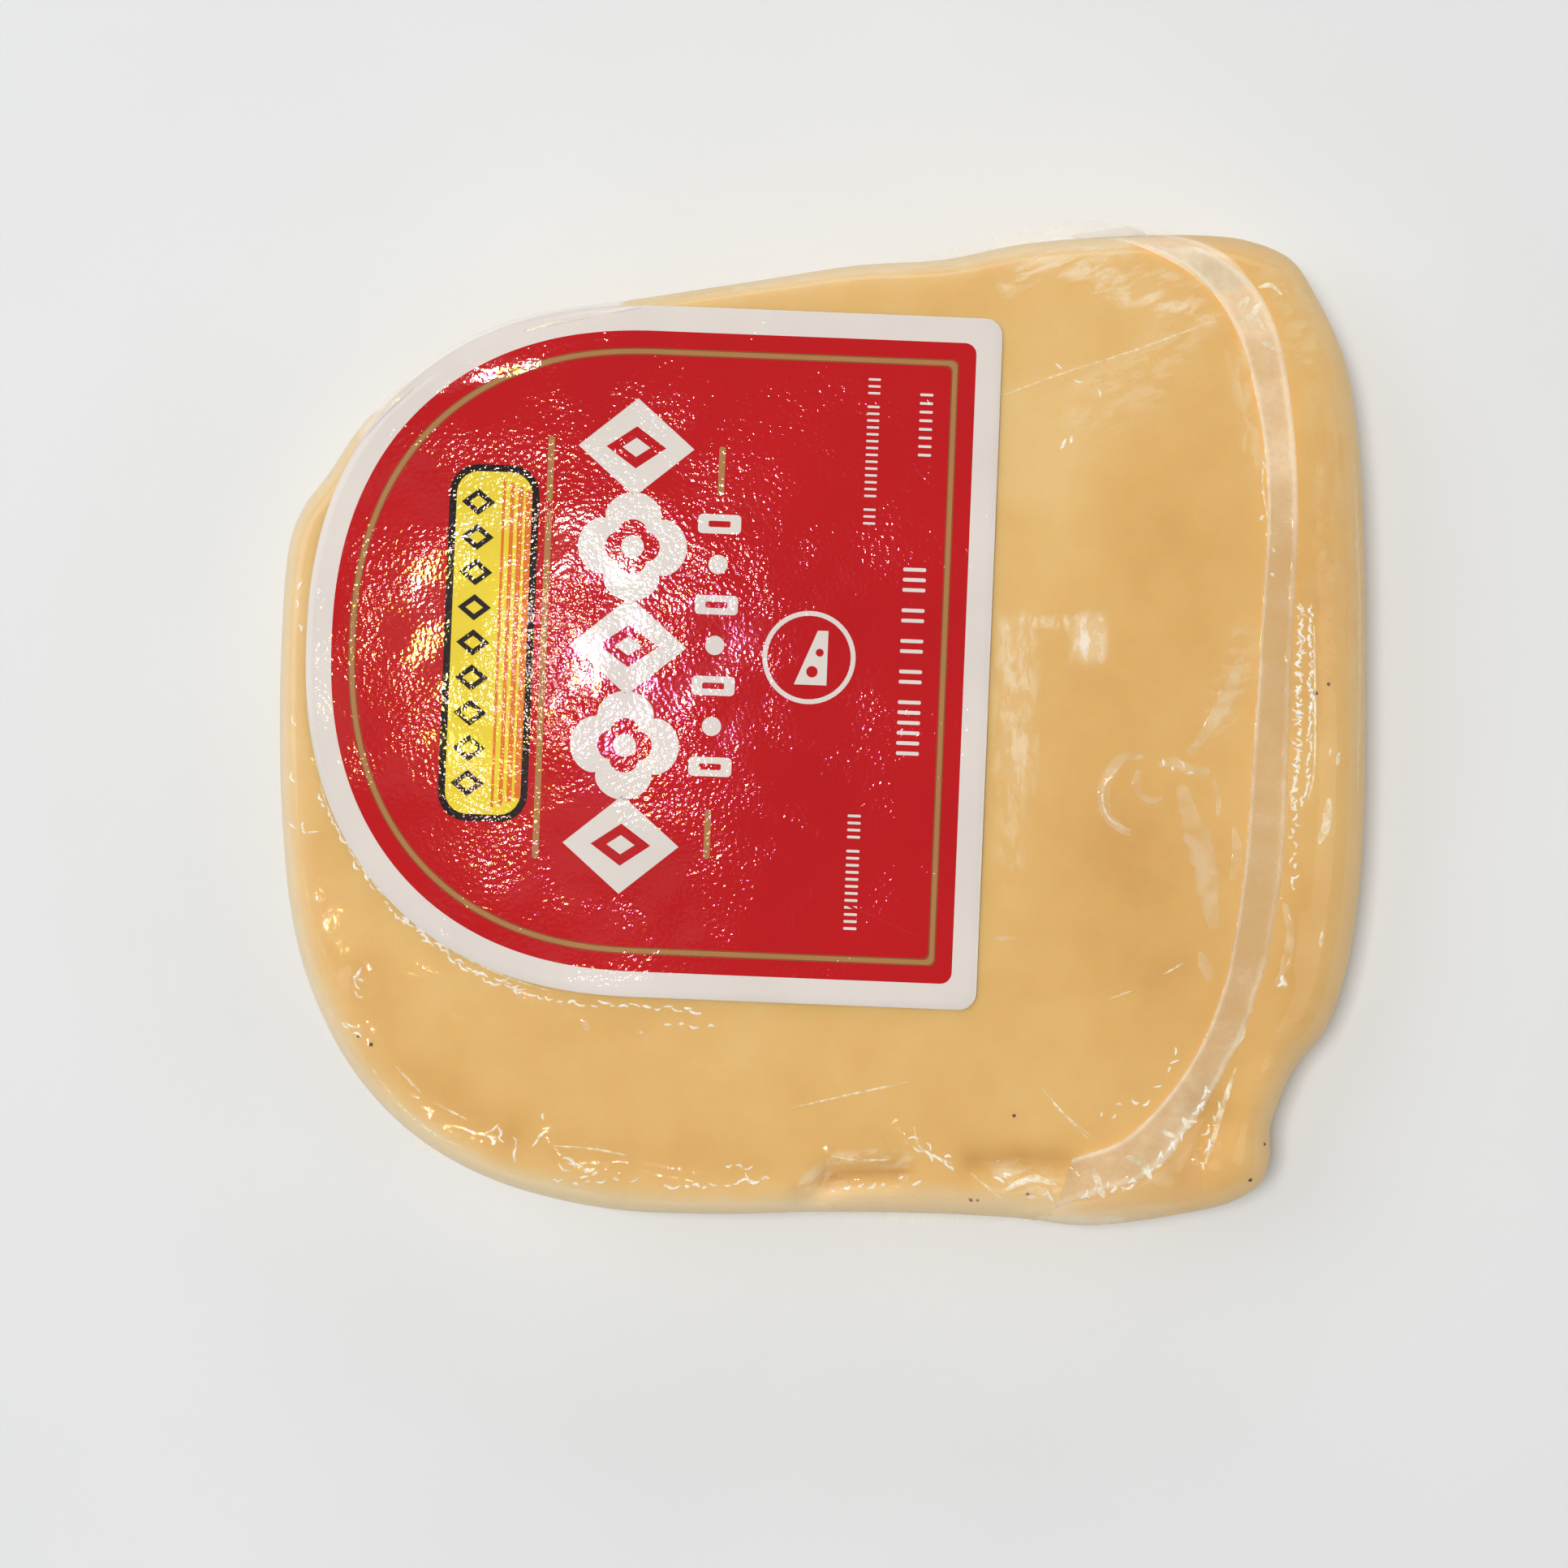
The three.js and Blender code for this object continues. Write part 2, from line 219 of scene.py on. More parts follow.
INK_COLOURS = {
    "white": (0.765, 0.705, 0.655),
    "red": (0.520, 0.010, 0.013),
    "bronze": (0.430, 0.210, 0.075),
    "dark_bronze": (0.270, 0.090, 0.035),
    "yellow": (0.840, 0.640, 0.045),
    "black": (0.018, 0.012, 0.012),
    "orange": (0.760, 0.180, 0.025),
}
INK_TINTS = [(0.3, 0.95), (0.7, 1.05)]      # places in the noise, and the share of the colour there

STRIP_LIFT = 0.12
STRIP_THICKNESS = 0.28
STRIP_LIP = 0.08                # height of its folded edges over the rest
# The folded edges' paleness is partly thicker film and partly a painted highlight along the folds.
STRIP_LIP_PALE_AND_SHEEN = 0.65           # how much paler those edges are
STRIP_STATIONS = 300
STRIP_COLUMNS = 18
STRIP_FRAYS_FROM = 0.55         # share of its way at which its outer edge starts to fray
STRIP_FRAY = 1.6                # depth of the fraying, for each unit of that share

FLAP_STATIONS = 60
FLAP_COLUMNS = 12
FLAP_LIFT = 0.1
FLAP_THICKNESS = 0.08
FLAP_LIP = 0.05

# The film's milkiness. Where it turns down the side it is partly painted sheen, strongest on the left where
# the light falls and faint on the right.
TRACE_HAZE = 0.03               # milkiness of the film everywhere
RIM_HAZE_AND_SHEEN_AT = [-60, 20, 50]     # and where it turns down the side, by x
RIM_HAZE_AND_SHEEN = [0.54, 0.24, 0.05]
SIDE_HAZE = 0.10                # and down by the base
RIM_WIDTH = 2.6
VEIL_RISE = 6                   # height over the widest line at which the veils are full
VEIL_RAGGED = 0.3
HAZE_REACH = 1.6                # half widths from a milky place's middle to its end
MOST_GLOSS = 0.07               # of the film where it is seen edge-on

PRINT_RAISE = 0.02              # of the print's lowest layer over the paper
PRINT_STEP = 0.03               # from each layer to the next
PRINT_DEPTH = 0.05              # of a plate

# Creases and folds of the film that stand up as ridges: points, half width and height.
FOLDS = [
    ([(-2.2, -53.9), (0.7, -49.6), (3.4, -49.9), (7.5, -49.9), (9.8, -48.8), (8.8, -46.2)], 0.8, 0.45),
    ([(10.2, -48.3), (14.8, -50.4), (17, -51.6), (20.3, -54.5)], 0.7, 0.5),
    ([(19.9, -52.6), (22.9, -51.6), (26, -53.4)], 1.7, 0.55),
    ([(45.8, -42.9), (44.9, -46.2), (43.5, -50.6)], 0.9, 0.5),
    ([(52.9, -20.3), (53.9, -24), (53, -27.7)], 0.8, 0.3),
    ([(-52.3, -38.5), (-48.1, -43.1), (-43.3, -47.1), (-37.5, -48.6)], 0.8, 0.3),
    ([(-31.7, -47.6), (-28.6, -51.4), (-21.7, -51.6), (-12.5, -52.7)], 0.8, 0.3),
    ([(-53.6, -29), (-54.2, -34.4), (-52.4, -37)], 1.1, 0.35),
    ([(34.4, -4.3), (31.8, -7.6), (32.4, -10.8), (35, -12.4)], 0.7, 0.12),
    ([(38, -4.3), (44.2, -5.6), (44.5, -8.8)], 0.8, 0.14),
]

# Fine creases: points, width and height of a thin raised line.
CREASES = [
    ([(20.3, 37.2), (26.4, 39.5), (35.4, 42.4), (44.5, 45.8)], 0.28, 0.10),
    ([(-57.6, -6.5), (-56.4, -10.1), (-54.2, -14.4), (-50.7, -19.1), (-47.2, -22.4)], 0.26, 0.10),
    ([(-47.2, -22.4), (-43.7, -25.1), (-39.7, -27.4), (-34.4, -29.6), (-30.7, -30.7)], 0.26, 0.10),
    ([(-3.5, -43.8), (3.2, -42.3), (9.6, -40.9)], 0.30, 0.10),
    ([(24.7, -41.6), (27.2, -44.5), (30.5, -47.2)], 0.30, 0.10),
    ([(25.6, -42.6), (28.3, -45.7), (30, -47.4)], 0.22, 0.08),
    ([(38.6, -28.7), (40.9, -27.4)], 0.3, 0.10),
    ([(32.4, -31.5), (35.1, -30.5)], 0.25, 0.08),
    ([(10.2, -46), (10.9, -48.4), (14.6, -50.2)], 0.35, 0.16),
    ([(16.7, -51.3), (20.3, -54.3)], 0.35, 0.16),
    ([(0.7, -49.3), (3.4, -49.8), (7.4, -49.8)], 0.35, 0.14),
    ([(-30.7, -48.2), (-26, -48.6), (-22.5, -49.3)], 0.35, 0.14),
    ([(-29.4, -50.1), (-26.1, -51.1)], 0.35, 0.14),
    ([(-44.9, -43.1), (-40.8, -45.2)], 0.35, 0.14),
    ([(-48.8, -39.2), (-45.9, -42.3)], 0.35, 0.14),
    ([(-51.6, -39.4), (-48.3, -43.7), (-44.6, -46.9), (-40.6, -48.6)], 0.3, 0.14),
    ([(50.9, 34), (49.9, 28), (50.9, 21)], 0.25, 0.08),
    ([(33.9, -4.5), (31.7, -7.6), (32.3, -10.8), (35, -12.4)], 0.3, 0.08),
]

# Shallow grooves pressed into the label: points, half width and depth.
LABEL_GROOVES = [
    ([(-43.8, 36.6), (-38.4, 38.6), (-32.6, 39.8)], 1.1, 0.12),
    ([(-57.2, 19.6), (-57.2, 13)], 1.5, 0.09),
]

# Fine creases in the label, by ink: points, width and height of a thin raised line.
LABEL_CREASES = {
    "white": [
        ([(-53.2, 31.6), (-49.9, 35.3), (-46.8, 38)], 0.3, 0.07),
        ([(-34.2, 44.6), (-27.3, 46.1), (-20.6, 47.3)], 0.3, 0.07),
    ],
    "red": [([(-9.6, -9.4), (-3.7, -16.1), (2.2, -20.5), (11.8, -24.9)], 0.35, 0.05)],
}

# Bright glints of the film along the label's white border.
LABEL_GLINTS = [
    ([(-50.6, 34.6), (-48.9, 36.6), (-47.6, 37.6)], 0.5, 0.05),
    ([(-34.6, 44.4), (-31.2, 45.3), (-28.4, 45.8)], 0.4, 0.05),
    ([(-27.4, 46.0), (-24.6, 46.6), (-22.4, 47.1)], 0.5, 0.05),
]

# Chains of small gathers along the film's tight edges, their whiteness partly painted glints: points, gathers
# for each millimetre, spread, size, and how far they turn from the chain's own heading.
GATHERS = [
    ([(-57.4, -8.4), (-53.9, -14.9), (-50.7, -19.6), (-47.8, -22.6)], 1.0, 0.10, 1.3, 0.2),
    ([(-47.8, -22.6), (-43, -26.4), (-38.8, -28.8), (-34.6, -30.1)], 1.4, 0.14, 1.5, 0.25),
    ([(-34.6, -30.3), (-31.3, -31.5), (-24.9, -32.1), (-14.4, -32.7)], 0.9, 0.12, 1.4, 0.3),
    ([(-18, -34.5), (-13, -34.9)], 0.9, 0.1, 1.3, 0.2),
    ([(-18.1, -52.7), (-11.9, -52.6), (-6.7, -51.8)], 1.0, 0.2, 1.2, 0.5),
    ([(-30.5, -52.2), (-21.7, -51.8)], 0.7, 0.2, 1.2, 0.5),
    ([(-10.7, -50.2), (-7.9, -51.1)], 1.6, 0.3, 1.4, 0.7),
    ([(-37.4, -46.9), (-35.2, -48.4)], 2.0, 0.4, 1.6, 1.2),
    ([(-33, -48), (-31.8, -45)], 0.8, 0.3, 1.3, 0.5),
    ([(-29.6, -50), (-26, -51.4)], 1.8, 0.4, 1.5, 0.9),
    ([(-53.2, -28.4), (-52.8, -30.6)], 1.8, 0.4, 1.4, 1.2),
    ([(-53.9, -34.2), (-53.4, -35.6)], 1.8, 0.4, 1.4, 1.2),
    ([(-60.2, 15.4), (-60.5, 11.2)], 0.7, 0.3, 1.1, 0.5),
    ([(-60.6, -0.2), (-60.4, -1.6), (-59.8, -12)], 0.3, 0.3, 1.1, 0.5),
    ([(-60.2, -12), (-58.2, -12.3)], 1.4, 0.3, 1.2, 0.5),
    ([(10.6, -47.9), (12.4, -49.3), (14.8, -50.4)], 1.8, 0.2, 1.3, 0.6),
    ([(1, -53.4), (10.1, -52)], 0.8, 0.25, 1.1, 0.5),
    ([(19.9, -52.2), (26, -53.3)], 1.2, 0.6, 1.5, 1.0),
    ([(31.2, -44.7), (36.4, -42.2), (39.9, -38.1)], 0.9, 0.5, 1.0, 1.2),
    ([(26.4, 40.9), (31.5, 37.3)], 0.3, 0.2, 0.9, 1.2),
    ([(26.7, 31.3), (28, 31.9)], 1.5, 0.2, 1.2, 1.2),
    ([(45.8, -42.9), (44.8, -46.2), (43.4, -50.6)], 0.9, 0.3, 1.3, 0.6),
    ([(52.1, -29.2), (52.6, -29.9)], 3.0, 0.3, 1.5, 1.5),
    ([(54.4, 13.4), (54.1, 6.5), (54, -0.4), (53.8, -5), (53.6, -10)], 3.4, 0.16, 0.8, 1.6),
    ([(53.6, -10), (53.3, -19)], 1.4, 0.2, 0.9, 1.4),
    ([(55.4, 13.4), (55.4, 2.3), (55.1, -5.1), (54.7, -9.2)], 2.6, 0.07, 0.75, 0.5),
    ([(50.6, 30), (50.2, 22), (50.9, 17)], 0.6, 0.4, 0.8, 1.2),
    ([(38.4, -4.8), (41.4, -5.6)], 1.6, 0.3, 1.0, 1.2),
]

# The crimped outer edge of the folded seal's lower end.
STRIP_GATHERS = [
    ([(29.6, -53.6), (33.4, -52.9), (37.0, -51.0)], 1.8, 0.2, 1.2, 1.5),
    ([(37.0, -51.0), (41.2, -46.6), (44.0, -41.8)], 1.3, 0.2, 1.3, 1.2),
]

# Bright wet-looking glints in the film, and on the folded seal: points, width and height.
GLINTS = [
    ([(47.0, -39.4), (45.6, -43.6), (44.7, -47), (43.5, -50.4)], 0.8, 0.12),
    ([(47.9, -34.6), (47.0, -37)], 0.9, 0.06),
    ([(57.6, -8.6), (57.3, -11.6), (56.4, -13.8)], 1.2, 0.10),
    ([(58.8, -3.4), (58.5, -4.9)], 0.6, 0.06),
    ([(57.8, -2.8), (57.6, -3.8)], 0.5, 0.06),
    ([(56.9, -23.8), (56.7, -25.6)], 0.6, 0.06),
    ([(52.2, -28.8), (52.6, -30.2)], 0.9, 0.10),
    ([(55.8, 11.1), (55.9, -2.7), (55.7, -6.4), (55.1, -8.8)], 0.3, 0.04),
    ([(49.5, 49.6), (50.9, 49.9), (52.2, 48.8)], 0.6, 0.06),
    ([(20.6, -53.2), (23.6, -51.9), (26.4, -52.6)], 1.0, 0.08),
]
STRIP_GLINTS = [
    ([(47.4, 45.4), (48.6, 46.4), (49.9, 47.9)], 1.0, 0.10),
    ([(47.2, 47.2), (48.3, 48.4)], 0.9, 0.08),
    ([(49.3, 46.0), (50.2, 44.6)], 0.6, 0.08),
    ([(49.6, 43.6), (51.3, 42.4)], 0.9, 0.10),
    ([(34.4, -49.4), (36.2, -50.2), (37.2, -52.0)], 1.0, 0.08),
    ([(38.2, -46.4), (40.0, -47.2)], 0.9, 0.08),
    ([(30.6, -50.8), (31.8, -54.2)], 1.0, 0.08),
    ([(40.8, -45.0), (41.6, -46.2)], 0.8, 0.14),
]

# Streaked milky places in the film, where air lies under it: points, half width and haze.
MILKY = [
    ([(21, 50.2), (24.6, 51.6), (30, 51.9), (33.4, 51.2)], 1.1, 0.42),
    ([(26, 52.6), (31, 53.0), (35.6, 51.8)], 0.9, 0.24),
    ([(31, 49.2), (35.6, 48.4), (40.5, 47.8), (44.2, 46.2)], 1.0, 0.42),
    ([(34, 50.4), (39, 50.0), (42.4, 49.0)], 1.1, 0.26),
    ([(40.3, 42.7), (35.5, 38.8), (30.5, 36.1)], 3.2, 0.16),
    ([(44.6, 0.6), (46.8, 5), (47.6, 9)], 1.6, 0.16),
    ([(20.8, -52.2), (24.9, -52.2)], 1.5, 0.36),
    ([(-2, -53.2), (0.9, -50.1), (5, -50.0), (9.2, -49.7)], 0.7, 0.30),
    ([(51.5, 51), (54, 46.5), (55, 41)], 1.6, 0.16),
]

# Pockets of air that lift the film: points, width and height.
POCKETS = [
    ([(36.2, -3.9), (34.0, -4.0), (32.4, -5.8), (31.7, -8.2), (32.3, -10.8), (34.8, -12.8)], 1.5, 0.07),
    ([(35.7, -5.4), (35.5, -7.4), (37.0, -8.9), (38.6, -8.6)], 1.2, 0.06),
    ([(38.0, -4.9), (39.6, -4.4), (41.4, -5.4), (43.9, -5.5)], 1.5, 0.10),
    ([(44.2, -6.6), (44.8, -8.4), (44.8, -10.6)], 0.9, 0.07),
    ([(40.6, -7.2), (41.6, -10.6), (42.8, -14), (43.6, -18), (44.2, -23.4)], 3.2, 0.06),
    ([(41.6, -3.6), (44.6, 0.6), (46.4, 4.2), (47.4, 7.6)], 1.9, 0.05),
    ([(46.6, -12), (47.0, -14.6), (46.4, -18)], 1.3, 0.06),
    ([(42.8, -26.2), (43.9, -29.4)], 1.7, 0.07),
    ([(19.3, -24.6), (22, -24.6)], 0.8, 0.06),
    ([(52.4, -20.6), (53.1, -24), (52.6, -27.6), (51.6, -30)], 1.3, 0.12),
    ([(60.9, 30), (61.6, 12), (61.3, -8)], 0.7, 0.05),
    ([(-21.4, -35.2), (-20.2, -35.9)], 1.2, 0.06),
    ([(-27.8, -33.8), (-26.8, -35)], 1.2, 0.06),
]

# Upright streaks: the first four paint pale patches of reflected light on the face as streaked milky film,
# the rest are milky streaks further right.
HATCHED_AND_REFLECTIONS = [
    ([(21.6, 10.4), (21.9, 2), (21.6, -6.4)], 1.9, 0.32),
    ([(21.5, -7), (21, -16)], 1.3, 0.18),
    ([(30.0, 10.4), (30.0, 7.6)], 1.7, 0.50),
    ([(21.4, 11.5), (31.2, 11.5)], 0.6, 0.40),
    ([(46.9, 42), (48.2, 36), (48.6, 30)], 1.0, 0.20),
    ([(57.6, 37), (58.6, 26), (58.6, 10)], 0.9, 0.09),
    ([(55.6, 38), (56.4, 28), (56.3, 14)], 0.6, 0.08),
]

# The streaks by kind: their places, how ragged their edges are, and how far they turn.
STREAKS = {
    "haze": (MILKY, 0.9, math.radians(70)),
    "hatch_and_reflections": (HATCHED_AND_REFLECTIONS, 0.4, 0),
}

# Smoother milky places: the film's tight corners and its layers by the seal.
VEILS = [
    ([(-52.6, 35.6), (-51.6, 36.6)], 3.4, 0.6),
    ([(-51.6, 36.6), (-48.6, 39.6), (-42, 44), (-34.6, 47), (-24, 49)], 1.5, 0.95),
    # The next four, along the left and bottom rims, are partly painted sheen that makes the rims look paler.
    ([(-62.4, 5), (-62.2, -10), (-61, -22), (-58.6, -31), (-54.6, -38.8)], 1.2, 0.42),
    ([(-50, -44.6), (-43, -49.4), (-36, -52.6), (-25, -55.2)], 1.5, 0.34),
    ([(-25, -55.2), (-13, -55.8), (0, -55.8)], 1.4, 0.32),
    ([(0, -54.6), (14, -54.6), (26, -55.8)], 1.5, 0.26),
    ([(25, -57.6), (29, -57.6), (34, -57.6)], 1.0, 0.55),
    # These two paint a pale patch of reflected light on the face.
    ([(30.0, 10.6), (30.0, 8.6)], 1.6, 0.22),
    ([(21.5, 10.6), (21.7, -5)], 1.8, 0.07),
    ([(-10, 50.6), (4, 52.4), (14, 53.4), (24, 55), (34, 55.6)], 1.7, 0.38),
]

# The cheese's tone, from 0 for pale yellow to 1 for deep orange: points, half width and change.
PLAIN_TONE = 0.38
PALEST_TONE = 0.1
SIDE_TONE = 0.2
TONES = [
    ([(40, 21), (38, 24)], 9, 0.24),
    ([(30, 3), (32, 1)], 9, 0.20),
    ([(34, -14), (40, -27)], 9, 0.28),
    ([(25, 34), (24, 30)], 8, -0.26),
    ([(30, 48), (42, 47)], 3, -0.10),
    ([(-44, -28), (-30, -36)], 7, -0.05),
    ([(-52.5, -28), (-48, -38.5), (-36, -47)], 2.8, 0.24),
    ([(-30, -48.5), (-6, -50)], 2.2, 0.14),
    ([(-50, -44.6), (-36, -53), (-13, -56), (26, -57)], 2.6, -0.30),
    # The next three deepen the tone along the hollows and the crease by the bottom edge: painted shade in
    # those recesses.
    ([(0, -52.4), (3.4, -51.4), (9, -51.2)], 1.0, 0.42),
    ([(17, -50.1), (22, -49.6), (28, -50)], 1.5, 0.42),
    ([(41, -51.5), (45, -45)], 2.6, 0.24),
    ([(52, -32), (55.5, -12)], 3, 0.08),
    ([(54, 0), (57, 30)], 3.4, 0.20),
    ([(56, -20), (54, -33)], 2.4, 0.20),
]

# Specks caught between cheese and film.
SPECKS = [
    (21.6, -44.8), (16.7, -54.4), (17.5, -54.5), (23.2, -53.8), (48.9, -52.5),
    (50.7, -48.5), (56, 3.4), (57.5, 4.4), (-53.2, -35.8), (-51.7, -36.7),
]


# ---- curves and the slab's surface as functions --------------------------------------------------

def smooth_run(points, closed=False, steps=24):
    """A finely stepped centripetal Catmull-Rom curve through points."""
    pts = np.array(points, float)
    count = len(pts)
    if closed:
        padded = np.vstack([pts[-1], pts, pts[0], pts[1]])
    else:
        padded = np.vstack([2 * pts[0] - pts[1], pts, 2 * pts[-1] - pts[-2]])
    share = np.arange(steps)[:, None] / steps
    spans = []
    for i in range(count if closed else count - 1):
        p0, p1, p2, p3 = padded[i:i + 4]
        d0 = np.linalg.norm(p1 - p0) ** 0.5
        d1 = np.linalg.norm(p2 - p1) ** 0.5
        d2 = np.linalg.norm(p3 - p2) ** 0.5
        m1 = ((p1 - p0) / d0 - (p2 - p0) / (d0 + d1) + (p2 - p1) / d1) * d1
        m2 = ((p2 - p1) / d1 - (p3 - p1) / (d1 + d2) + (p3 - p2) / d2) * d1
        spans.append(
            (2 * share**3 - 3 * share**2 + 1) * p1 + (share**3 - 2 * share**2 + share) * m1
            + (-2 * share**3 + 3 * share**2) * p2 + (share**3 - share**2) * m2
        )
    spans.append((pts[0] if closed else pts[-1])[None, :])
    return np.vstack(spans)


def evenly(run, count, closed=False):
    """count points at equal steps along a run; a closed run leaves out the repeated end."""
    lengths = np.concatenate([[0], np.cumsum(np.linalg.norm(np.diff(run, axis=0), axis=1))])
    wanted = np.linspace(0, lengths[-1], count + 1 if closed else count)
    if closed:
        wanted = wanted[:-1]
    return np.stack([np.interp(wanted, lengths, run[:, k]) for k in range(run.shape[1])], axis=1)


def run_length(run):
    return np.linalg.norm(np.diff(run, axis=0), axis=1).sum()


outline_run = smooth_run([point for side in OUTLINE.values() for point in side], closed=True)
EDGE = evenly(outline_run, 528, closed=True)


def segment_distance(x, y, a, b):
    """Distance from each point to the line from a to b, and how far along it the nearest place is."""
    run_x, run_y = b[0] - a[0], b[1] - a[1]
    share = np.clip(((x - a[0]) * run_x + (y - a[1]) * run_y) / (run_x**2 + run_y**2), 0, 1)
    return np.hypot(x - a[0] - share * run_x, y - a[1] - share * run_y), share


def nearest_edge(x, y):
    """Distance from each point to the outline, and the shoulder's width there."""
    distance = np.full(x.shape, np.inf)
    shoulder = np.zeros(x.shape)
    for a, b in zip(EDGE, np.roll(EDGE, -1, axis=0)):
        away, share = segment_distance(x, y, a, b)
        closer = away < distance
        distance[closer] = away[closer]
        shoulder[closer] = (a[2] + (b[2] - a[2]) * share)[closer]
    return distance, shoulder


def line_distance(x, y, points):
    """Distance from each point to a line through points."""
    nearest = np.full(x.shape, np.inf)
    for a, b in zip(points, points[1:]):
        nearest = np.minimum(nearest, segment_distance(x, y, a, b)[0])
    return nearest


def waves(x, y, width, seed):
    """Smooth noise from -1 to 1 whose features are about width across."""
    return np.array([noise.noise((a, b, seed)) for a, b in zip(x / width, y / width)])


def rippled(x, y, layers):
    """The sum of layers of smooth waves, each given by its height, width and seed."""
    return sum(height * waves(x, y, width, seed) for height, width, seed in layers)


def hills(x, y, places):
    """The sum of smooth hills along lines, each given by its points, half width and height."""
    total = np.zeros(x.shape)
    for points, half_width, height in places:
        total += height * np.exp(-(line_distance(x, y, points) / half_width) ** 2)
    return total


def face_height(x, y):
    height = THICKNESS - CROWN * (x**2 + y**2) / CROWN_REACH**2
    for (cx, cy), radius, change in SWELLS:
        height = height + change * np.exp(-((x - cx) ** 2 + (y - cy) ** 2) / radius**2)
    return height


def rise_of(distance, shoulder):
    inward = np.clip(distance / shoulder, 0, 1)
    return (1 - (1 - inward) ** RIM_POWER) ** (1 / RIM_POWER)


def sheet_height(x, y, followed):
    """Height of the slab under a sheet that bridges the hollows and follows a share of the fall."""
    distance, shoulder = nearest_edge(x, y)
    face = face_height(x, y)
    return face - (face - WIDEST_HEIGHT) * (1 - rise_of(distance, shoulder)) * followed


def label_axes(x, y):
    """The slab's x and y as the label's own u and v."""
    dx, dy = x - LABEL_CENTRE[0], y - LABEL_CENTRE[1]
    return dx * LABEL_COS + dy * LABEL_SIN, -dx * LABEL_SIN + dy * LABEL_COS


def slab_axes(uv):
    """The label's u and v as the slab's x and y."""
    return (
        LABEL_CENTRE[0] + uv[:, 0] * LABEL_COS - uv[:, 1] * LABEL_SIN,
        LABEL_CENTRE[1] + uv[:, 0] * LABEL_SIN + uv[:, 1] * LABEL_COS,
    )


def outside_label(x, y):
    """0 under the label, rising to 1 a little outside its edge."""
    u, v = label_axes(x, y)
    length = np.clip(-u / (LABEL_LENGTH / 2), 0, None)
    arch = (length**ARCH_POWER + np.abs(v / (LABEL_WIDTH / 2)) ** ARCH_POWER) ** (1 / ARCH_POWER)
    reach = np.where(u < 0, arch, np.maximum(np.abs(v) / (LABEL_WIDTH / 2), u / (LABEL_LENGTH / 2)))
    start, fade = LABEL_GRIP
    return np.clip((reach - start) / fade, 0, 1)


def skin_height(x, y, distance, shoulder, followed):
    """Height of the slab's upper side where a skin follows a share of the hollows' depth."""
    face = face_height(x, y) - hills(x, y, HOLLOWS) * followed
    shared = rippled(x, y, SHARED_WAVES) * np.clip(distance / SHARED_FADE, 0, 1)
    return WIDEST_HEIGHT + (face - WIDEST_HEIGHT) * rise_of(distance, shoulder) + shared


def cheese_height(x, y):
    return skin_height(x, y, *nearest_edge(x, y), 1) - CHEESE_UNDER


def film_height(x, y):
    """Height of the tight film, with its own waves and folds where the label doesn't hold it down."""
    distance, shoulder = nearest_edge(x, y)
    free = np.clip(distance / FILM_FADE, 0, 1) * outside_label(x, y)
    folds = hills(x, y, FOLDS)
    risen = folds > LEAST_FOLD
    relief = rippled(x, y, FILM_WAVES)
    relief[risen] += folds[risen] * (1 + FOLD_RAGGED * waves(x[risen], y[risen], 1.7, 5.3))
    return skin_height(x, y, distance, shoulder, FILM_FOLLOWS) + relief * free - FILM_UNDER


# ---- mesh helpers --------------------------------------------------------------------------------

def add_object(name, vertices_mm, faces):
    mesh = bpy.data.meshes.new(name)
    mesh.from_pydata((np.asarray(vertices_mm) * MM).tolist(), [], faces)
    mesh.update()
    mesh.shade_smooth()
    mesh.set_sharp_from_angle(angle=SHARP_FROM)
    piece = bpy.data.objects.new(name, mesh)
    bpy.context.scene.collection.objects.link(piece)
    return piece


def quad_band(low, high, count):
    """Faces between two loops of count points, whose first points are low and high."""
    return [(low + i, low + (i + 1) % count, high + (i + 1) % count, high + i) for i in range(count)]


def closed_solid(loops, first_centre, last_centre):
    """Vertices and faces of a closed solid: a fan, bands of quads between the loops, and a fan."""
    count = len(loops[0])
    vertices = np.vstack([first_centre, *loops, last_centre])
    last = len(vertices) - 1
    faces = [(0, 1 + (i + 1) % count, 1 + i) for i in range(count)]
    for ring in range(len(loops) - 1):
        faces += quad_band(1 + ring * count, 1 + (ring + 1) * count, count)
    start = 1 + (len(loops) - 1) * count
    faces += [(last, start + i, start + (i + 1) % count) for i in range(count)]
    return vertices, faces


def closed_tube(sections):
    """A closed solid from sections along a run, each a closed loop of points round it."""
    first = sections[0].mean(axis=0, keepdims=True)
    last = sections[-1].mean(axis=0, keepdims=True)
    return closed_solid(sections, first, last)


def ring_solid(loops):
    """A closed solid round a hole: bands between the loops and from the last back to the first."""
    count = len(loops[0])
    vertices = np.vstack(loops)
    faces = []
    for ring in range(len(loops)):
        faces += quad_band(ring * count, (ring + 1) % len(loops) * count, count)
    return vertices, faces


def joined(parts):
    """Vertices and faces of several solids as one mesh."""
    vertices, faces, count = [], [], 0
    for part_vertices, part_faces in parts:
        vertices.append(part_vertices)
        faces += [tuple(index + count for index in face) for face in part_faces]
        count += len(part_vertices)
    return np.vstack(vertices), faces


def store(piece, name, values):
    layer = piece.data.attributes.new(name, "FLOAT", "POINT")
    layer.data.foreach_set("value", np.asarray(values, np.float32))


def finish_piece(piece, materials, slot, replaced):
    for material in materials:
        piece.data.materials.append(material)
    piece.visible_shadow = slot != "film"       # thin film lets the light through
    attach(piece, "root")
    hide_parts(replaced)


# ---- materials -----------------------------------------------------------------------------------

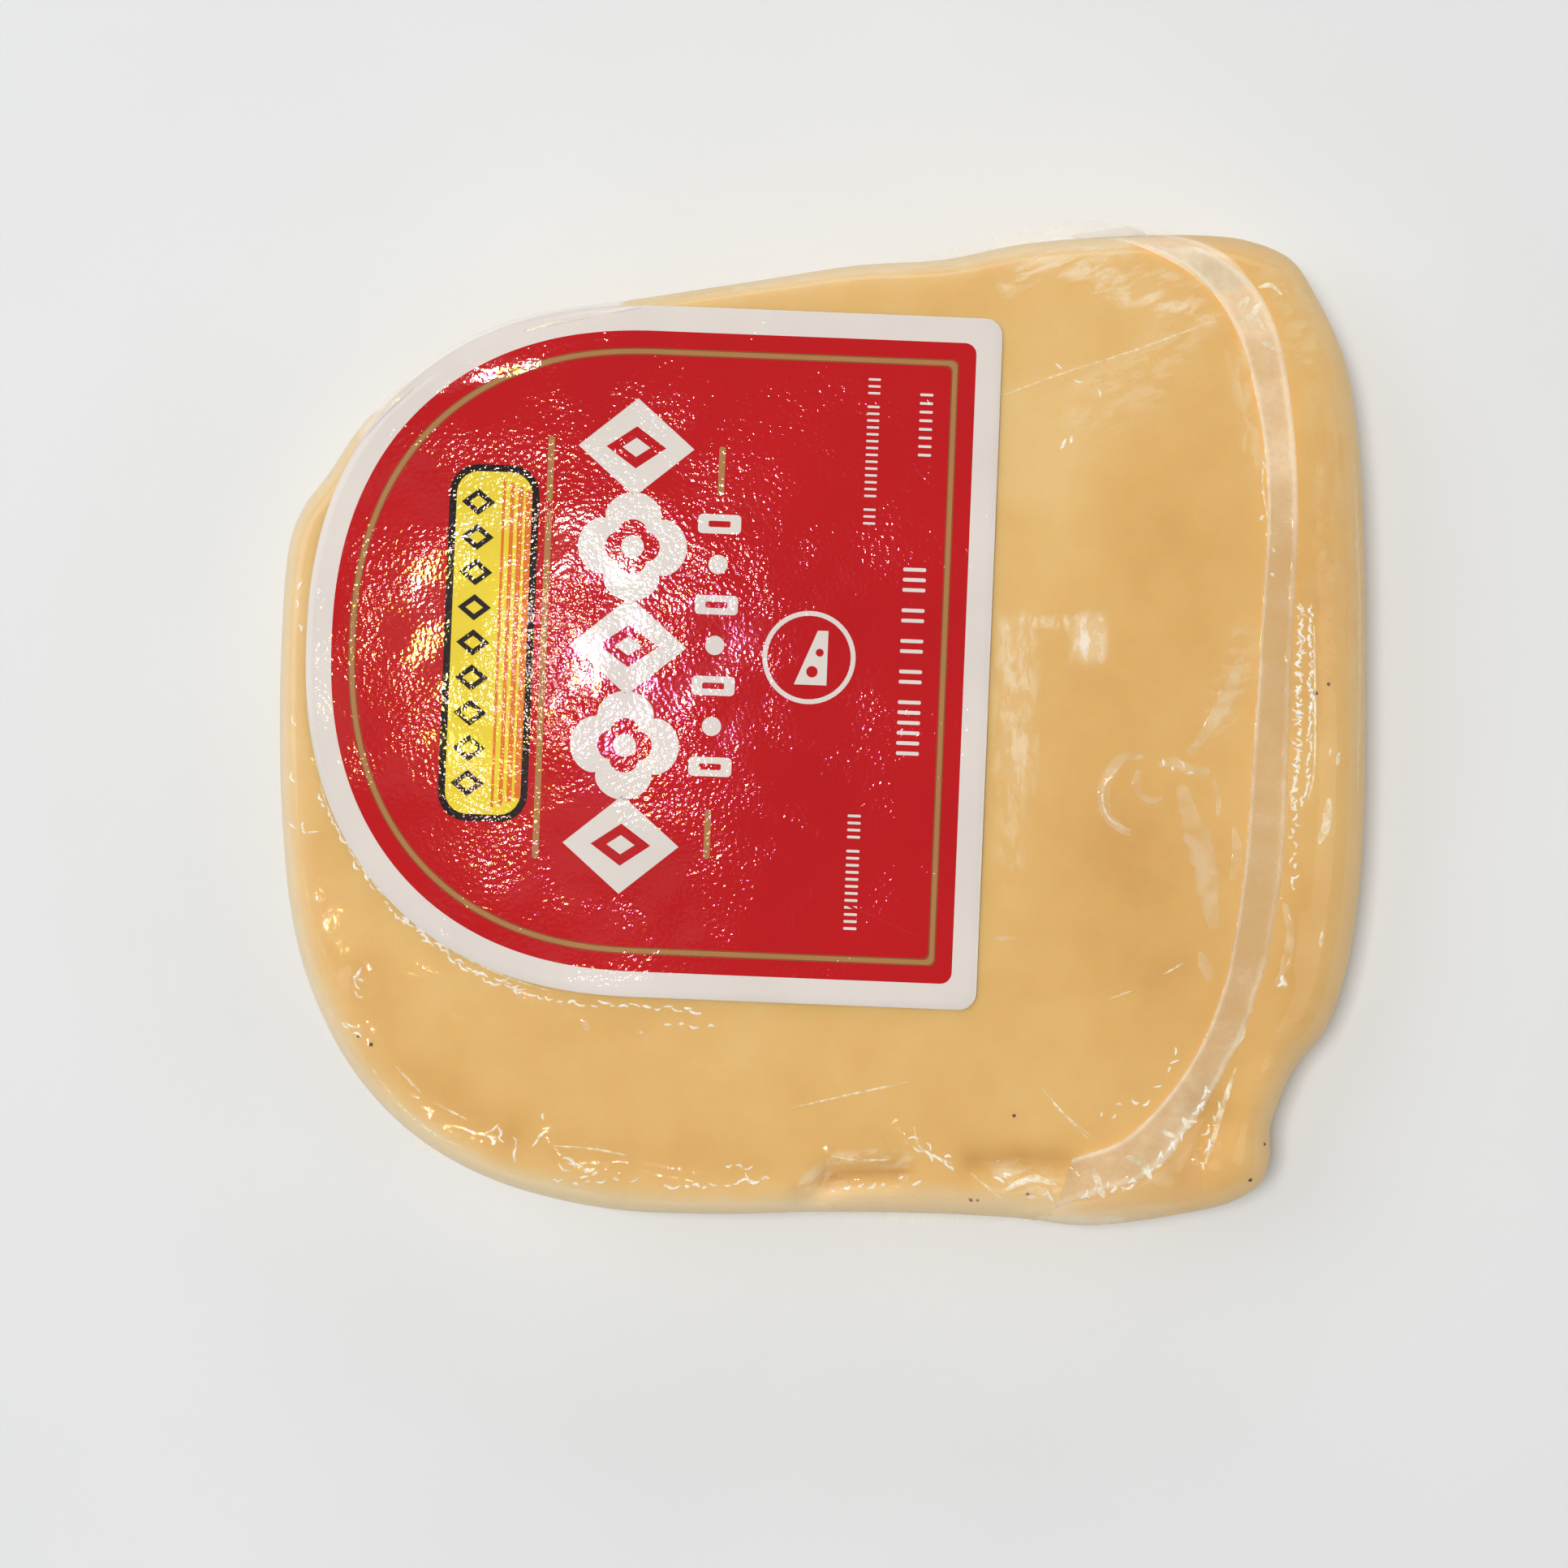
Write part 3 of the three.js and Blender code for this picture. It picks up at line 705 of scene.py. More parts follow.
class Shading:
    """A short way to write a node tree."""

    def __init__(self, name):
        self.material = bpy.data.materials.new(name)
        self.material.use_nodes = True
        self.tree = self.material.node_tree
        self.tree.nodes.clear()
        self.output = self.tree.nodes.new("ShaderNodeOutputMaterial")
        self.place = self.tree.nodes.new("ShaderNodeTexCoord").outputs["Object"]

    def add(self, kind, inputs=None, **settings):
        node = self.tree.nodes.new(kind)
        for key, value in settings.items():
            setattr(node, key, value)
        for key, value in (inputs or {}).items():
            if isinstance(value, bpy.types.NodeSocket):
                self.tree.links.new(value, node.inputs[key])
            else:
                node.inputs[key].default_value = value
        return node

    def noise(self, width, detail=2.0, roughness=0.5, distortion=0.0, stretch=(1, 1, 1), turn=0.0):
        """Noise from 0 to 1 whose features are about width millimetres across."""
        turned = self.add("ShaderNodeMapping", {"Vector": self.place, "Rotation": (0, 0, turn)})
        mapping = self.add("ShaderNodeMapping", {"Vector": turned.outputs["Vector"], "Scale": stretch})
        return self.add("ShaderNodeTexNoise", {
            "Vector": mapping.outputs["Vector"], "Scale": 1 / (width * MM), "Detail": detail,
            "Roughness": roughness, "Distortion": distortion,
        }).outputs["Fac"]

    def stored(self, name):
        return self.add("ShaderNodeAttribute", attribute_name=name).outputs["Fac"]

    def ramp(self, factor, stops):
        node = self.add("ShaderNodeValToRGB", {"Fac": factor})
        while len(node.color_ramp.elements) < len(stops):
            node.color_ramp.elements.new(0.5)
        for element, (position, colour) in zip(node.color_ramp.elements, stops):
            element.position = position
            element.color = (*colour, 1)
        return node.outputs["Color"]

    def spread(self, factor, low, high, start=0.3, end=0.7):
        """The factor's range from start to end taken to low to high."""
        return self.add("ShaderNodeMapRange", {
            "Value": factor, "From Min": start, "From Max": end, "To Min": low, "To Max": high,
        }).outputs["Result"]

    def math(self, operation, a, b):
        node = self.add("ShaderNodeMath", {0: a, 1: b}, operation=operation)
        return node.outputs[0]

    def mix(self, factor, first, second):
        """A mix of two colours, by the mix node's sockets for colours."""
        inputs = {0: factor, 6: (*first, 1), 7: (*second, 1)}
        return self.add("ShaderNodeMix", inputs, data_type="RGBA").outputs[2]

    def bump(self, height, distance, normal=None):
        inputs = {"Height": height, "Distance": distance * MM, "Strength": 1.0}
        if normal is not None:
            inputs["Normal"] = normal
        return self.add("ShaderNodeBump", inputs).outputs["Normal"]

    def mix_shader(self, factor, first, second):
        node = self.add("ShaderNodeMixShader", {0: factor, 1: first, 2: second})
        return node.outputs[0]

    def done(self, shader):
        self.tree.links.new(shader, self.output.inputs["Surface"])
        return self.material

    def principled(self, inputs):
        return self.done(self.add("ShaderNodeBsdfPrincipled", inputs).outputs["BSDF"])


def cheese_material():
    shading = Shading("cheese")
    broad = shading.spread(shading.noise(20, detail=4, roughness=0.6), -0.12, 0.12)
    small = shading.spread(shading.noise(5, detail=4, roughness=0.6), -0.05, 0.05)
    tone = shading.math("ADD", shading.stored("tone"), shading.math("ADD", broad, small))
    colour = shading.ramp(tone, [
        (0.10, (0.845, 0.580, 0.240)),
        (0.35, (0.810, 0.517, 0.180)),
        (0.60, (0.760, 0.457, 0.142)),
        (0.80, (0.695, 0.390, 0.112)),
        (1.00, (0.665, 0.305, 0.058)),
    ])
    return shading.principled({
        "Base Color": colour,
        "Roughness": 0.5,
        "Specular IOR Level": 0.35,
        "Subsurface Weight": 0.6,
        "Subsurface Radius": (1.0, 0.5, 0.18),
        "Subsurface Scale": 3.0 * MM,
        "Normal": shading.bump(shading.noise(1.6, detail=3), 0.05),
    })


def film_finish(shading, normal, haze, milk_colour, roughness):
    """Clear film: see-through head on, and on its outer side glossy by Fresnel and milky by haze."""
    clear = shading.add("ShaderNodeBsdfTransparent", {"Color": (0.99, 0.99, 0.985, 1)}).outputs[0]
    milk = shading.add("ShaderNodeBsdfDiffuse", {"Color": milk_colour, "Normal": normal}).outputs[0]
    gloss = shading.add("ShaderNodeBsdfGlossy", {
        "Color": (1.0, 0.97, 0.90, 1), "Roughness": roughness, "Normal": normal,
    }).outputs[0]
    fresnel = shading.add("ShaderNodeFresnel", {"IOR": 1.48, "Normal": normal}).outputs[0]
    fresnel = shading.math("MINIMUM", fresnel, MOST_GLOSS)
    inner_side = shading.add("ShaderNodeNewGeometry").outputs["Backfacing"]
    outer_side = shading.math("SUBTRACT", 1.0, inner_side)
    milky = shading.mix_shader(shading.math("MULTIPLY", haze, outer_side), clear, milk)
    return shading.done(shading.mix_shader(shading.math("MULTIPLY", fresnel, outer_side), milky, gloss))


def film_material():
    shading = Shading("clear_film")
    normal = shading.bump(shading.noise(5, detail=4, roughness=0.6, distortion=0.6), 0.10)
    normal = shading.bump(shading.noise(0.8, detail=2), 0.008, normal)
    haze = shading.stored("veil")
    for name, (_, _, turn) in STREAKS.items():
        streaks = shading.noise(1.3, 4, 0.6, distortion=0.3, stretch=(1, 0.33, 1), turn=turn)
        streaky = shading.math("MULTIPLY", shading.stored(name), shading.spread(streaks, 0.1, 1, 0.46, 0.58))
        haze = shading.math("ADD", haze, streaky)
    milk = shading.mix(shading.spread(haze, 0, 1, 0.34, 0.90), (1.0, 0.90, 0.67), (1.0, 0.97, 0.92))
    return film_finish(shading, normal, haze, milk, 0.08)


def loose_film_material():
    shading = Shading("loose_film")
    normal = shading.bump(shading.noise(3, detail=4, roughness=0.6), 0.05)
    haze = shading.spread(shading.noise(3, detail=3), 0.12, 0.30)
    return film_finish(shading, normal, haze, (1.0, 0.95, 0.86, 1), 0.1)


def raised_film_material(name, patch, least_haze, most_haze, colour):
    """Film drawn up into ridges or pockets, pale along their middles where they catch the light."""
    shading = Shading(name)
    patches = shading.spread(shading.noise(patch, detail=3), least_haze, most_haze, 0.36, 0.64)
    haze = shading.math("MULTIPLY", patches, shading.stored("core"))
    normal = shading.bump(shading.noise(patch / 2, detail=2), 0.03)
    return film_finish(shading, normal, haze, colour, 0.12)


def strip_material():
    shading = Shading("heat_seal")
    normal = shading.bump(shading.noise(3.5, detail=4, roughness=0.6, distortion=0.5), 0.12)
    cloudy = shading.spread(shading.noise(5, detail=5, roughness=0.65), -0.18, 0.30, 0.35, 0.68)
    pale = shading.math("ADD", shading.stored("pale"), cloudy)
    milk = shading.mix(pale, (0.46, 0.40, 0.30), (0.93, 0.84, 0.65))
    haze = shading.spread(pale, 0.33, 0.66, 0, 1)
    return film_finish(shading, normal, haze, milk, 0.12)


def flap_film_material():
    """Thin welded film, paler at its folded edges, partly as a painted highlight along the folds."""
    shading = Shading("film_flap")
    normal = shading.bump(shading.noise(2.4, detail=4, roughness=0.6), 0.10)
    haze = shading.spread(shading.stored("pale"), 0.03, 0.75, 0, 1)
    return film_finish(shading, normal, haze, (1.0, 0.95, 0.84, 1), 0.12)


def print_material(name, colour):
    """Varnished print: even ink, with an orange-peel coat and soft waves of the paper under it."""
    shading = Shading(name)
    wavy = shading.bump(shading.noise(9, detail=1), 0.20)
    grain = shading.math("SUBTRACT", shading.noise(0.55, detail=1), 0.5)
    patches = shading.spread(shading.noise(9, detail=2, distortion=0.6), 0.42, 1.35, 0.45, 0.56)
    peel = shading.bump(shading.math("MULTIPLY", grain, patches), 0.032, wavy)
    tints = [(place, [channel * share for channel in colour]) for place, share in INK_TINTS]
    return shading.principled({
        "Base Color": shading.ramp(shading.noise(18, detail=3), tints),
        "Roughness": 0.6,
        "Specular IOR Level": 0.1,
        "Coat Weight": 1.0,
        "Coat Roughness": 0.05,
        "Coat Normal": peel,
    })


def speck_material():
    shading = Shading("specks")
    colour = shading.ramp(shading.noise(0.3), [(0.3, (0.06, 0.03, 0.012)), (0.7, (0.16, 0.09, 0.03))])
    return shading.principled({"Base Color": colour, "Roughness": 0.7})


def floor_material():
    shading = Shading("floor")
    colour = shading.ramp(shading.noise(60, detail=3), [
        (0.3, (0.78, 0.803, 0.812)), (0.7, (0.805, 0.828, 0.837)),
    ])
    return shading.principled({"Base Color": colour, "Roughness": 0.8, "Specular IOR Level": 0.2})


# ---- the slab: cheese inside, film round it ------------------------------------------------------

def drawn_in(points, inset):
    """Points moved towards the middle by inset."""
    radius = np.hypot(points[:, 0], points[:, 1])
    return points[:, :2] * ((radius - inset) / radius)[:, None]


def build_skin(columns, face_rings, under, height_of, side_lumps):
    """The slab's closed skin, from its base up the side and over the face."""
    edge = evenly(outline_run, columns, closed=True)
    edge = np.column_stack([drawn_in(edge, under), edge[:, 2]])
    radius = np.hypot(edge[:, 0], edge[:, 1])
    lumps = side_lumps * (1 + rippled(edge[:, 0], edge[:, 1], SIDE_WAVES))

    def level(points, height):
        return np.column_stack([points, np.full(columns, height)])

    loops = [level(drawn_in(edge, (1 - share) * radius), under) for share in BASE_SHARES]
    for angle in np.radians(SIDE_DEGREES):
        inset = BASE_INSET * (1 - math.sin(angle)) + lumps * math.sin(angle) * math.cos(angle)
        height = under + (WIDEST_HEIGHT - under) * (1 - math.cos(angle))
        loops.append(level(drawn_in(edge, inset), height))
    loops.append(level(edge[:, :2], WIDEST_HEIGHT))
    shoulder = SHOULDER_REACH * edge[:, 2]
    top = [drawn_in(edge, share**SHOULDER_CROWDING * shoulder) for share in SHOULDER_SHARES]
    top += [
        drawn_in(edge, shoulder + share * (radius - shoulder))
        for share in np.linspace(0, FACE_END, face_rings + 1)[1:]
    ]
    places = np.vstack(top)
    heights = height_of(places[:, 0], places[:, 1]).reshape(len(top), columns)
    loops += [np.column_stack([points, height]) for points, height in zip(top, heights)]
    base = np.array([[0, 0, under]])
    return closed_solid(loops, base, loops[-1].mean(axis=0, keepdims=True))


def build_cheese():
    vertices, faces = build_skin(*CHEESE_MESH, CHEESE_UNDER, cheese_height, SIDE_LUMPS["cheese"])
    piece = add_object("cheese", vertices, faces)
    x, y, z = vertices.T
    tone = np.clip(PLAIN_TONE + hills(x, y, TONES), PALEST_TONE, 1)
    store(piece, "tone", np.where(z > WIDEST_HEIGHT, tone, SIDE_TONE))
    finish_piece(piece, [cheese_material()], "cheese", "pack")


def haze_at(x, y, places, raggedness):
    """How milky the film is: strongest along the given places, with ragged edges."""
    haze = np.zeros(x.shape)
    ragged_x = x + raggedness * waves(x, y, 2.2, 11.5)
    ragged_y = y + raggedness * waves(x, y, 2.2, 14.5)
    for points, half_width, strength in places:
        away = line_distance(ragged_x, ragged_y, points)
        haze = np.maximum(haze, strength * np.clip(HAZE_REACH - away / half_width, 0, 1))
    return haze


def build_film():
    vertices, faces = build_skin(*FILM_MESH, FILM_UNDER, film_height, SIDE_LUMPS["film"])
    piece = add_object("film", vertices, faces)
    x, y, z = vertices.T
    distance, _ = nearest_edge(x, y)
    upper = z > WIDEST_HEIGHT
    for name, (places, raggedness, _) in STREAKS.items():
        store(piece, name, np.where(upper, haze_at(x, y, places, raggedness), 0))
    # The rims' milkiness, partly painted sheen that is strongest on the lit left side.
    rim_haze_and_sheen = np.interp(x, RIM_HAZE_AND_SHEEN_AT, RIM_HAZE_AND_SHEEN)
    rim = rim_haze_and_sheen * np.exp(-(distance / RIM_WIDTH) ** 2)
    risen = np.clip((z - WIDEST_HEIGHT) / VEIL_RISE, 0, 1)
    veil = np.maximum(rim, haze_at(x, y, VEILS, VEIL_RAGGED) * risen) + TRACE_HAZE
    side = SIDE_HAZE + (rim_haze_and_sheen + TRACE_HAZE - SIDE_HAZE) * z / WIDEST_HEIGHT
    store(piece, "veil", np.where(upper, veil, side))
    finish_piece(piece, [film_material()], "film", "pack")


def build_fringe(name, edge_points, height, reach, seed):
    """A loose edge of film that stands out from the slab's side, thin and wavy."""
    run = smooth_run(edge_points)
    stations = int(run_length(run) * FRINGE_DENSITY)
    outer = evenly(run, stations)
    along = np.linspace(0, 1, stations)
    ragged = FRINGE_INSET + FRINGE_RAGGED * waves(along * stations, along * 0, 9, seed)
    columns = []
    for share in np.linspace(0, 1, 8):
        inset = reach * (1 - share) + np.clip(ragged, 0, None) * share
        place = drawn_in(outer, inset)
        wavy = waves(place[:, 0], place[:, 1], 4.5, seed + 2)
        columns.append(np.column_stack([place, height + FRINGE_LIFT * (share * wavy + 1 - share)]))
    sheet = np.stack(columns, axis=1)
    thick = np.array([0, 0, FRINGE_THICKNESS])
    sections = [np.vstack([row, row[::-1] + thick]) for row in sheet]
    piece = add_object(name, *closed_tube(sections))
    finish_piece(piece, [loose_film], "film", "pack")


# ---- creases, crinkles and specks ----------------------------------------------------------------

# A ridge's section: places across it in widths, heights, and how milky the film is there, palest along
# the middle as a painted highlight.
RIDGE_ACROSS = np.array([0.5, 0.42, 0.26, 0, -0.26, -0.42, -0.5, 0])
RIDGE_HEIGHT = np.array([0, 0.5, 0.85, 1, 0.85, 0.5, 0, -0.5])
RIDGE_CORE = np.array([0, 0.75, 1, 1, 1, 0.75, 0, 0])
RIDGE_STEP = 0.35               # between sections
POCKET_RAGGED = 0.35            # how unevenly wide a pocket is, as a share of its width
GLINT_RAGGED = 0.3


def ridge_solids(runs, height_of, ragged=0.0):
    """Closed lens-shaped ridges on a surface: each of runs is (points, width, height)."""
    solids = []
    for points, width, height in runs:
        run = smooth_run(points, steps=8)
        stations = max(5, int(run_length(run) / RIDGE_STEP))
        run = evenly(run, stations)
        heading = np.gradient(run, axis=0)
        heading /= np.linalg.norm(heading, axis=1)[:, None]
        side = np.column_stack([-heading[:, 1], heading[:, 0]])
        taper = np.sin(np.linspace(0.12, math.pi - 0.12, stations)) ** 0.5
        taper *= 1 + ragged * waves(run[:, 0], run[:, 1], 1.1, 71.5)
        offsets = (RIDGE_ACROSS * width)[None, :, None] * taper[:, None, None]
        spots = run[:, None, :] + side[:, None, :] * offsets
        flat = spots.reshape(-1, 2)
        level = height_of(flat[:, 0], flat[:, 1]).reshape(stations, len(RIDGE_ACROSS))
        level += RIDGE_HEIGHT[None, :] * height * taper[:, None]
        sections = [np.column_stack([spot, z]) for spot, z in zip(spots, level)]
        solids.append(closed_tube(sections))
    return solids


# How each kind of ridge looks: its patches' width, the least and the most haze, and its colour.
RIDGE_LOOKS = {
    "film_creases": (0.9, 0.10, 0.70, (1.0, 0.92, 0.70, 1)),
    "film_pockets": (2.2, 0.10, 0.34, (0.90, 0.78, 0.58, 1)),
    # The gathers' strong white haze is partly painted glints.
    "film_gathers_and_glints": (0.9, 0.45, 1.00, (1.0, 0.97, 0.88, 1)),
    "film_glints": (1.5, 0.15, 0.85, (1.0, 0.93, 0.70, 1)),
}


def build_ridges(name, solids):
    piece = add_object(name, *joined(solids))
    cores = [np.tile(RIDGE_CORE, (len(vertices) - 2) // len(RIDGE_CORE)) for vertices, _ in solids]
    store(piece, "core", np.concatenate([np.concatenate([[0], core, [0]]) for core in cores]))
    finish_piece(piece, [raised_film_material(name, *RIDGE_LOOKS[name])], "film", "pack")


# The random ranges of the gathers' shapes.
GATHER_SHIFT = 0.2
GATHER_HALF = (0.2, 0.6)        # half length, for a chain of size 1
GATHER_BEND = 0.6               # in half lengths
GATHER_WIDTH = (0.22, 0.46)
GATHER_HEIGHT = (0.2, 0.4)      # in widths
GATHER_SEED = 7
STRIP_GATHER_SEED = 5


def gather_runs(chains, seed):
    """Short bent ridges scattered along the chains: for each its points, width and height."""
    draw = random.Random(seed)
    runs = []
    for points, density, spread, size, turns in chains:
        run = smooth_run(points)
        places = evenly(run, max(3, int(run_length(run) * density)))
        headings = np.gradient(places, axis=0)
        for (x, y), heading in zip(places, headings):
            x += draw.gauss(0, spread) + draw.uniform(-GATHER_SHIFT, GATHER_SHIFT)
            y += draw.gauss(0, spread) + draw.uniform(-GATHER_SHIFT, GATHER_SHIFT)
            turn = math.atan2(heading[1], heading[0]) + draw.uniform(-turns, turns)
            half = size * draw.uniform(*GATHER_HALF)
            dx, dy = half * math.cos(turn), half * math.sin(turn)
            bend = half * draw.uniform(-GATHER_BEND, GATHER_BEND)
            middle = (x - bend * math.sin(turn), y + bend * math.cos(turn))
            width = draw.uniform(*GATHER_WIDTH)
            height = width * draw.uniform(*GATHER_HEIGHT)
            runs.append(([(x - dx, y - dy), middle, (x + dx, y + dy)], width, height))
    return runs


def surface_ridges(runs, height_of):
    """The ridges of runs, with the surface's height worked out for all of them at once."""
    middles = np.array([points[1] for points, _, _ in runs])
    step = 0.2
    levels = height_of(middles[:, 0], middles[:, 1])
    tilt_x = (height_of(middles[:, 0] + step, middles[:, 1]) - levels) / step
    tilt_y = (height_of(middles[:, 0], middles[:, 1] + step) - levels) / step
    solids = []
    for index, run in enumerate(runs):
        def tangent_plane(x, y, i=index):
            return levels[i] + (x - middles[i, 0]) * tilt_x[i] + (y - middles[i, 1]) * tilt_y[i]
        solids += ridge_solids([run], tangent_plane)
    return solids


def build_gathers():
    solids = surface_ridges(gather_runs(GATHERS, GATHER_SEED), film_height)
    solids += surface_ridges(gather_runs(STRIP_GATHERS, STRIP_GATHER_SEED), strip_face)
    build_ridges("film_gathers_and_glints", solids)


def build_glints():
    solids = []
    for places, height_of in ((GLINTS, film_height), (STRIP_GLINTS, strip_face), (LABEL_GLINTS, paper_face)):
        solids += ridge_solids(places, height_of, GLINT_RAGGED)
    build_ridges("film_glints", solids)


SPECK_SEED = 11
SPECK_RADIUS = (0.16, 0.28)
SPECK_UNEVEN = (0.7, 1.2)       # range of its corners' distances, in radii
SPECK_SECTIONS = [(0.7, -0.03), (1.0, 0.03), (0.6, 0.09)]     # share of its size, and height


def build_specks():
    draw = random.Random(SPECK_SEED)
    solids = []
    centres = np.array(SPECKS)
    levels = cheese_height(centres[:, 0], centres[:, 1])
    turn = np.linspace(0, 2 * math.pi, 8, endpoint=False)
    for (x, y), level in zip(centres, levels):
        radius = draw.uniform(*SPECK_RADIUS)
        reach = np.array([radius * draw.uniform(*SPECK_UNEVEN) for _ in turn])
        ring = np.column_stack([reach * np.cos(turn), reach * np.sin(turn), np.zeros(len(turn))])
        sections = [ring * share + (x, y, level + lift) for share, lift in SPECK_SECTIONS]
        solids.append(closed_tube(sections))
    piece = add_object("specks", *joined(solids))
    finish_piece(piece, [speck_material()], "cheese", "pack")


# ---- the label -----------------------------------------------------------------------------------

def arch_loop(inset, corner):
    """The label's outline drawn in by inset, in its own axes: the arch to -u, a straight foot."""
    half_length = LABEL_LENGTH / 2 - inset
    half_width = LABEL_WIDTH / 2 - inset

    def mirrored(run):
        """The same run on the label's other side, in the loop's order."""
        return run[::-1] * (1, -1)

    quarter = np.linspace(0, math.pi / 2, 7)
    round_corner = np.column_stack([
        half_length - corner * (1 - np.cos(quarter)), half_width - corner * (1 - np.sin(quarter)),
    ])
    foot = np.linspace(corner - half_width, half_width - corner, 62)[1:-1]
    foot_side = np.column_stack([np.full(len(foot), half_length), foot])
    side = np.linspace(half_length - corner, 0, 32)[1:-1]
    straight_side = np.column_stack([side, np.full(len(side), half_width)])
    turn = np.linspace(0, math.pi, 121)
    arch = np.column_stack([
        -half_length * np.sin(turn) ** (2 / ARCH_POWER),
        half_width * np.sign(np.cos(turn)) * np.abs(np.cos(turn)) ** (2 / ARCH_POWER),
    ])
    return np.vstack([
        mirrored(round_corner), foot_side, round_corner, straight_side, arch, mirrored(straight_side),
    ])


def label_height(x, y):
    """The label's underside, with the paper's waves and grooves."""
    paper = rippled(x, y, LABEL_WAVES) - hills(x, y, LABEL_GROOVES)
    return sheet_height(x, y, LABEL_FOLLOWS) + LABEL_LIFT + paper


def on_label(uv, lift):
    """Points over the label's underside by lift."""
    x, y = slab_axes(uv)
    return np.column_stack([x, y, label_height(x, y) + lift])


def build_label():
    """The label as rings, from the middle of its underside out to its edge and back in over its face."""
    rings = [arch_loop(inset, corner) for inset, corner, _ in LABEL_RINGS]
    under = [rings[0] * share for share in LABEL_UNDER_SHARES]
    face = [rings[-1] * share for share in LABEL_FACE_SHARES]
    columns = len(rings[0])
    lifts = [0] * len(under) + [LABEL_THICKNESS - LABEL_BEVEL]
    lifts += [LABEL_THICKNESS] * (len(rings) + len(face) - 1)
    points = on_label(np.vstack(under + rings + face), np.repeat(lifts, columns))
    ends = on_label(np.zeros((2, 2)), np.array([0, LABEL_THICKNESS]))
    loops = list(points.reshape(-1, columns, 3))
    piece = add_object("label", *closed_solid(loops, ends[:1], ends[1:]))
    inks = ["white"] * len(under) + [name for _, _, name in LABEL_RINGS] + ["red"] * (len(face) + 1)
    order = np.repeat([LABEL_INKS.index(name) for name in inks], columns)
    piece.data.polygons.foreach_set("material_index", order.tolist())
    finish_piece(piece, [ink[name] for name in LABEL_INKS], "label", "label")


def paper_face(x, y):
    return label_height(x, y) + LABEL_THICKNESS


def build_inked(name, colours, inked):
    """A piece of the label in several inks: inked holds a colour and a solid for each of its parts."""
    piece = add_object(name, *joined([solid for _, solid in inked]))
    order = [colours.index(colour) for colour, (_, faces) in inked for _ in faces]
    piece.data.polygons.foreach_set("material_index", order)
    finish_piece(piece, [ink[colour] for colour in colours], "label", "label")


def build_label_creases():
    inked = []
    for colour, creases in LABEL_CREASES.items():
        inked += [(colour, solid) for solid in ridge_solids(creases, paper_face)]
    build_inked("label_creases", list(LABEL_CREASES), inked)


# ---- the label's print: plain motifs as thin plates on its upper face ----------------------------

def places_round(centre, reach, turn):
    """Places round a centre, by their distance from it and their angle."""
    return np.column_stack([centre[0] + reach * np.cos(turn), centre[1] + reach * np.sin(turn)])


def disc_loop(centre, radius, steps=48):
    return places_round(centre, radius, np.linspace(0, 2 * math.pi, steps, endpoint=False))


def sided_loop(corners, steps):
    """A closed loop through corners, with steps points for each side."""
    shares = np.linspace(0, 1, steps, endpoint=False)[:, None]
    return np.vstack([a + (b - a) * shares for a, b in zip(corners, np.roll(corners, -1, axis=0))])


def bar_loop(centre, size, corner, steps=3):
    """A bar with round corners, size (u, v), with steps points along each straight side."""
    half_u, half_v = size[0] / 2 - corner, size[1] / 2 - corner
    rounds = []
    for index, (su, sv) in enumerate(((1, 1), (-1, 1), (-1, -1), (1, -1))):
        turn = np.linspace(0, math.pi / 2, 6) + index * math.pi / 2
        rounds.append(places_round((centre[0] + su * half_u, centre[1] + sv * half_v), corner, turn))
    shares = np.linspace(0, 1, steps + 2)[1:-1, None]
    loop = []
    for arc, following in zip(rounds, rounds[1:] + rounds[:1]):
        loop += [arc, arc[-1] + (following[0] - arc[-1]) * shares]
    return np.vstack(loop)


def lozenge_loop(centre, half_u, half_v):
    corners = np.array([(half_u, 0), (0, half_v), (-half_u, 0), (0, -half_v)])
    return sided_loop(corners, 12) + np.array(centre)


def flower_loop(centre, radius):
    """A flower with four petals."""
    turn = np.linspace(0, 2 * math.pi, 96, endpoint=False)
    return places_round(centre, radius * (0.72 + 0.28 * np.abs(np.cos(turn * 2)) ** 0.7), turn)


class Print:
    """Gathers the print's plates, so that their places on the label are worked out all at once."""

    def __init__(self):
        self.loops = []
        self.plates = []

    def plate(self, colour, outer, inner=None, layer=1, rings=5):
        """A thin plate inside the loop outer, with a hole inside the loop inner."""
        top = LABEL_THICKNESS + PRINT_RAISE + (layer - 1) * PRINT_STEP
        centre = outer.mean(axis=0, keepdims=True)
        heart = np.repeat(centre, len(outer), axis=0) if inner is None else inner
        least = 0.04 if inner is None else 0.0
        across = [outer + (heart - outer) * share * (1 - least) for share in np.linspace(0, 1, rings)]
        start = len(self.loops)
        self.loops += [(loop, top - PRINT_DEPTH) for loop in across[::-1]]
        self.loops += [(loop, top) for loop in across]
        self.plates.append((colour, start, len(self.loops), inner is not None))

    def solids(self):
        uv = np.vstack([loop for loop, _ in self.loops])
        lifts = np.concatenate([np.full(len(loop), lift) for loop, lift in self.loops])
        points = on_label(uv, lifts)
        cuts = np.cumsum([0] + [len(loop) for loop, _ in self.loops])
        placed = [points[a:b] for a, b in zip(cuts, cuts[1:])]
        for colour, start, end, holed in self.plates:
            yield colour, ring_solid(placed[start:end]) if holed else closed_tube(placed[start:end])


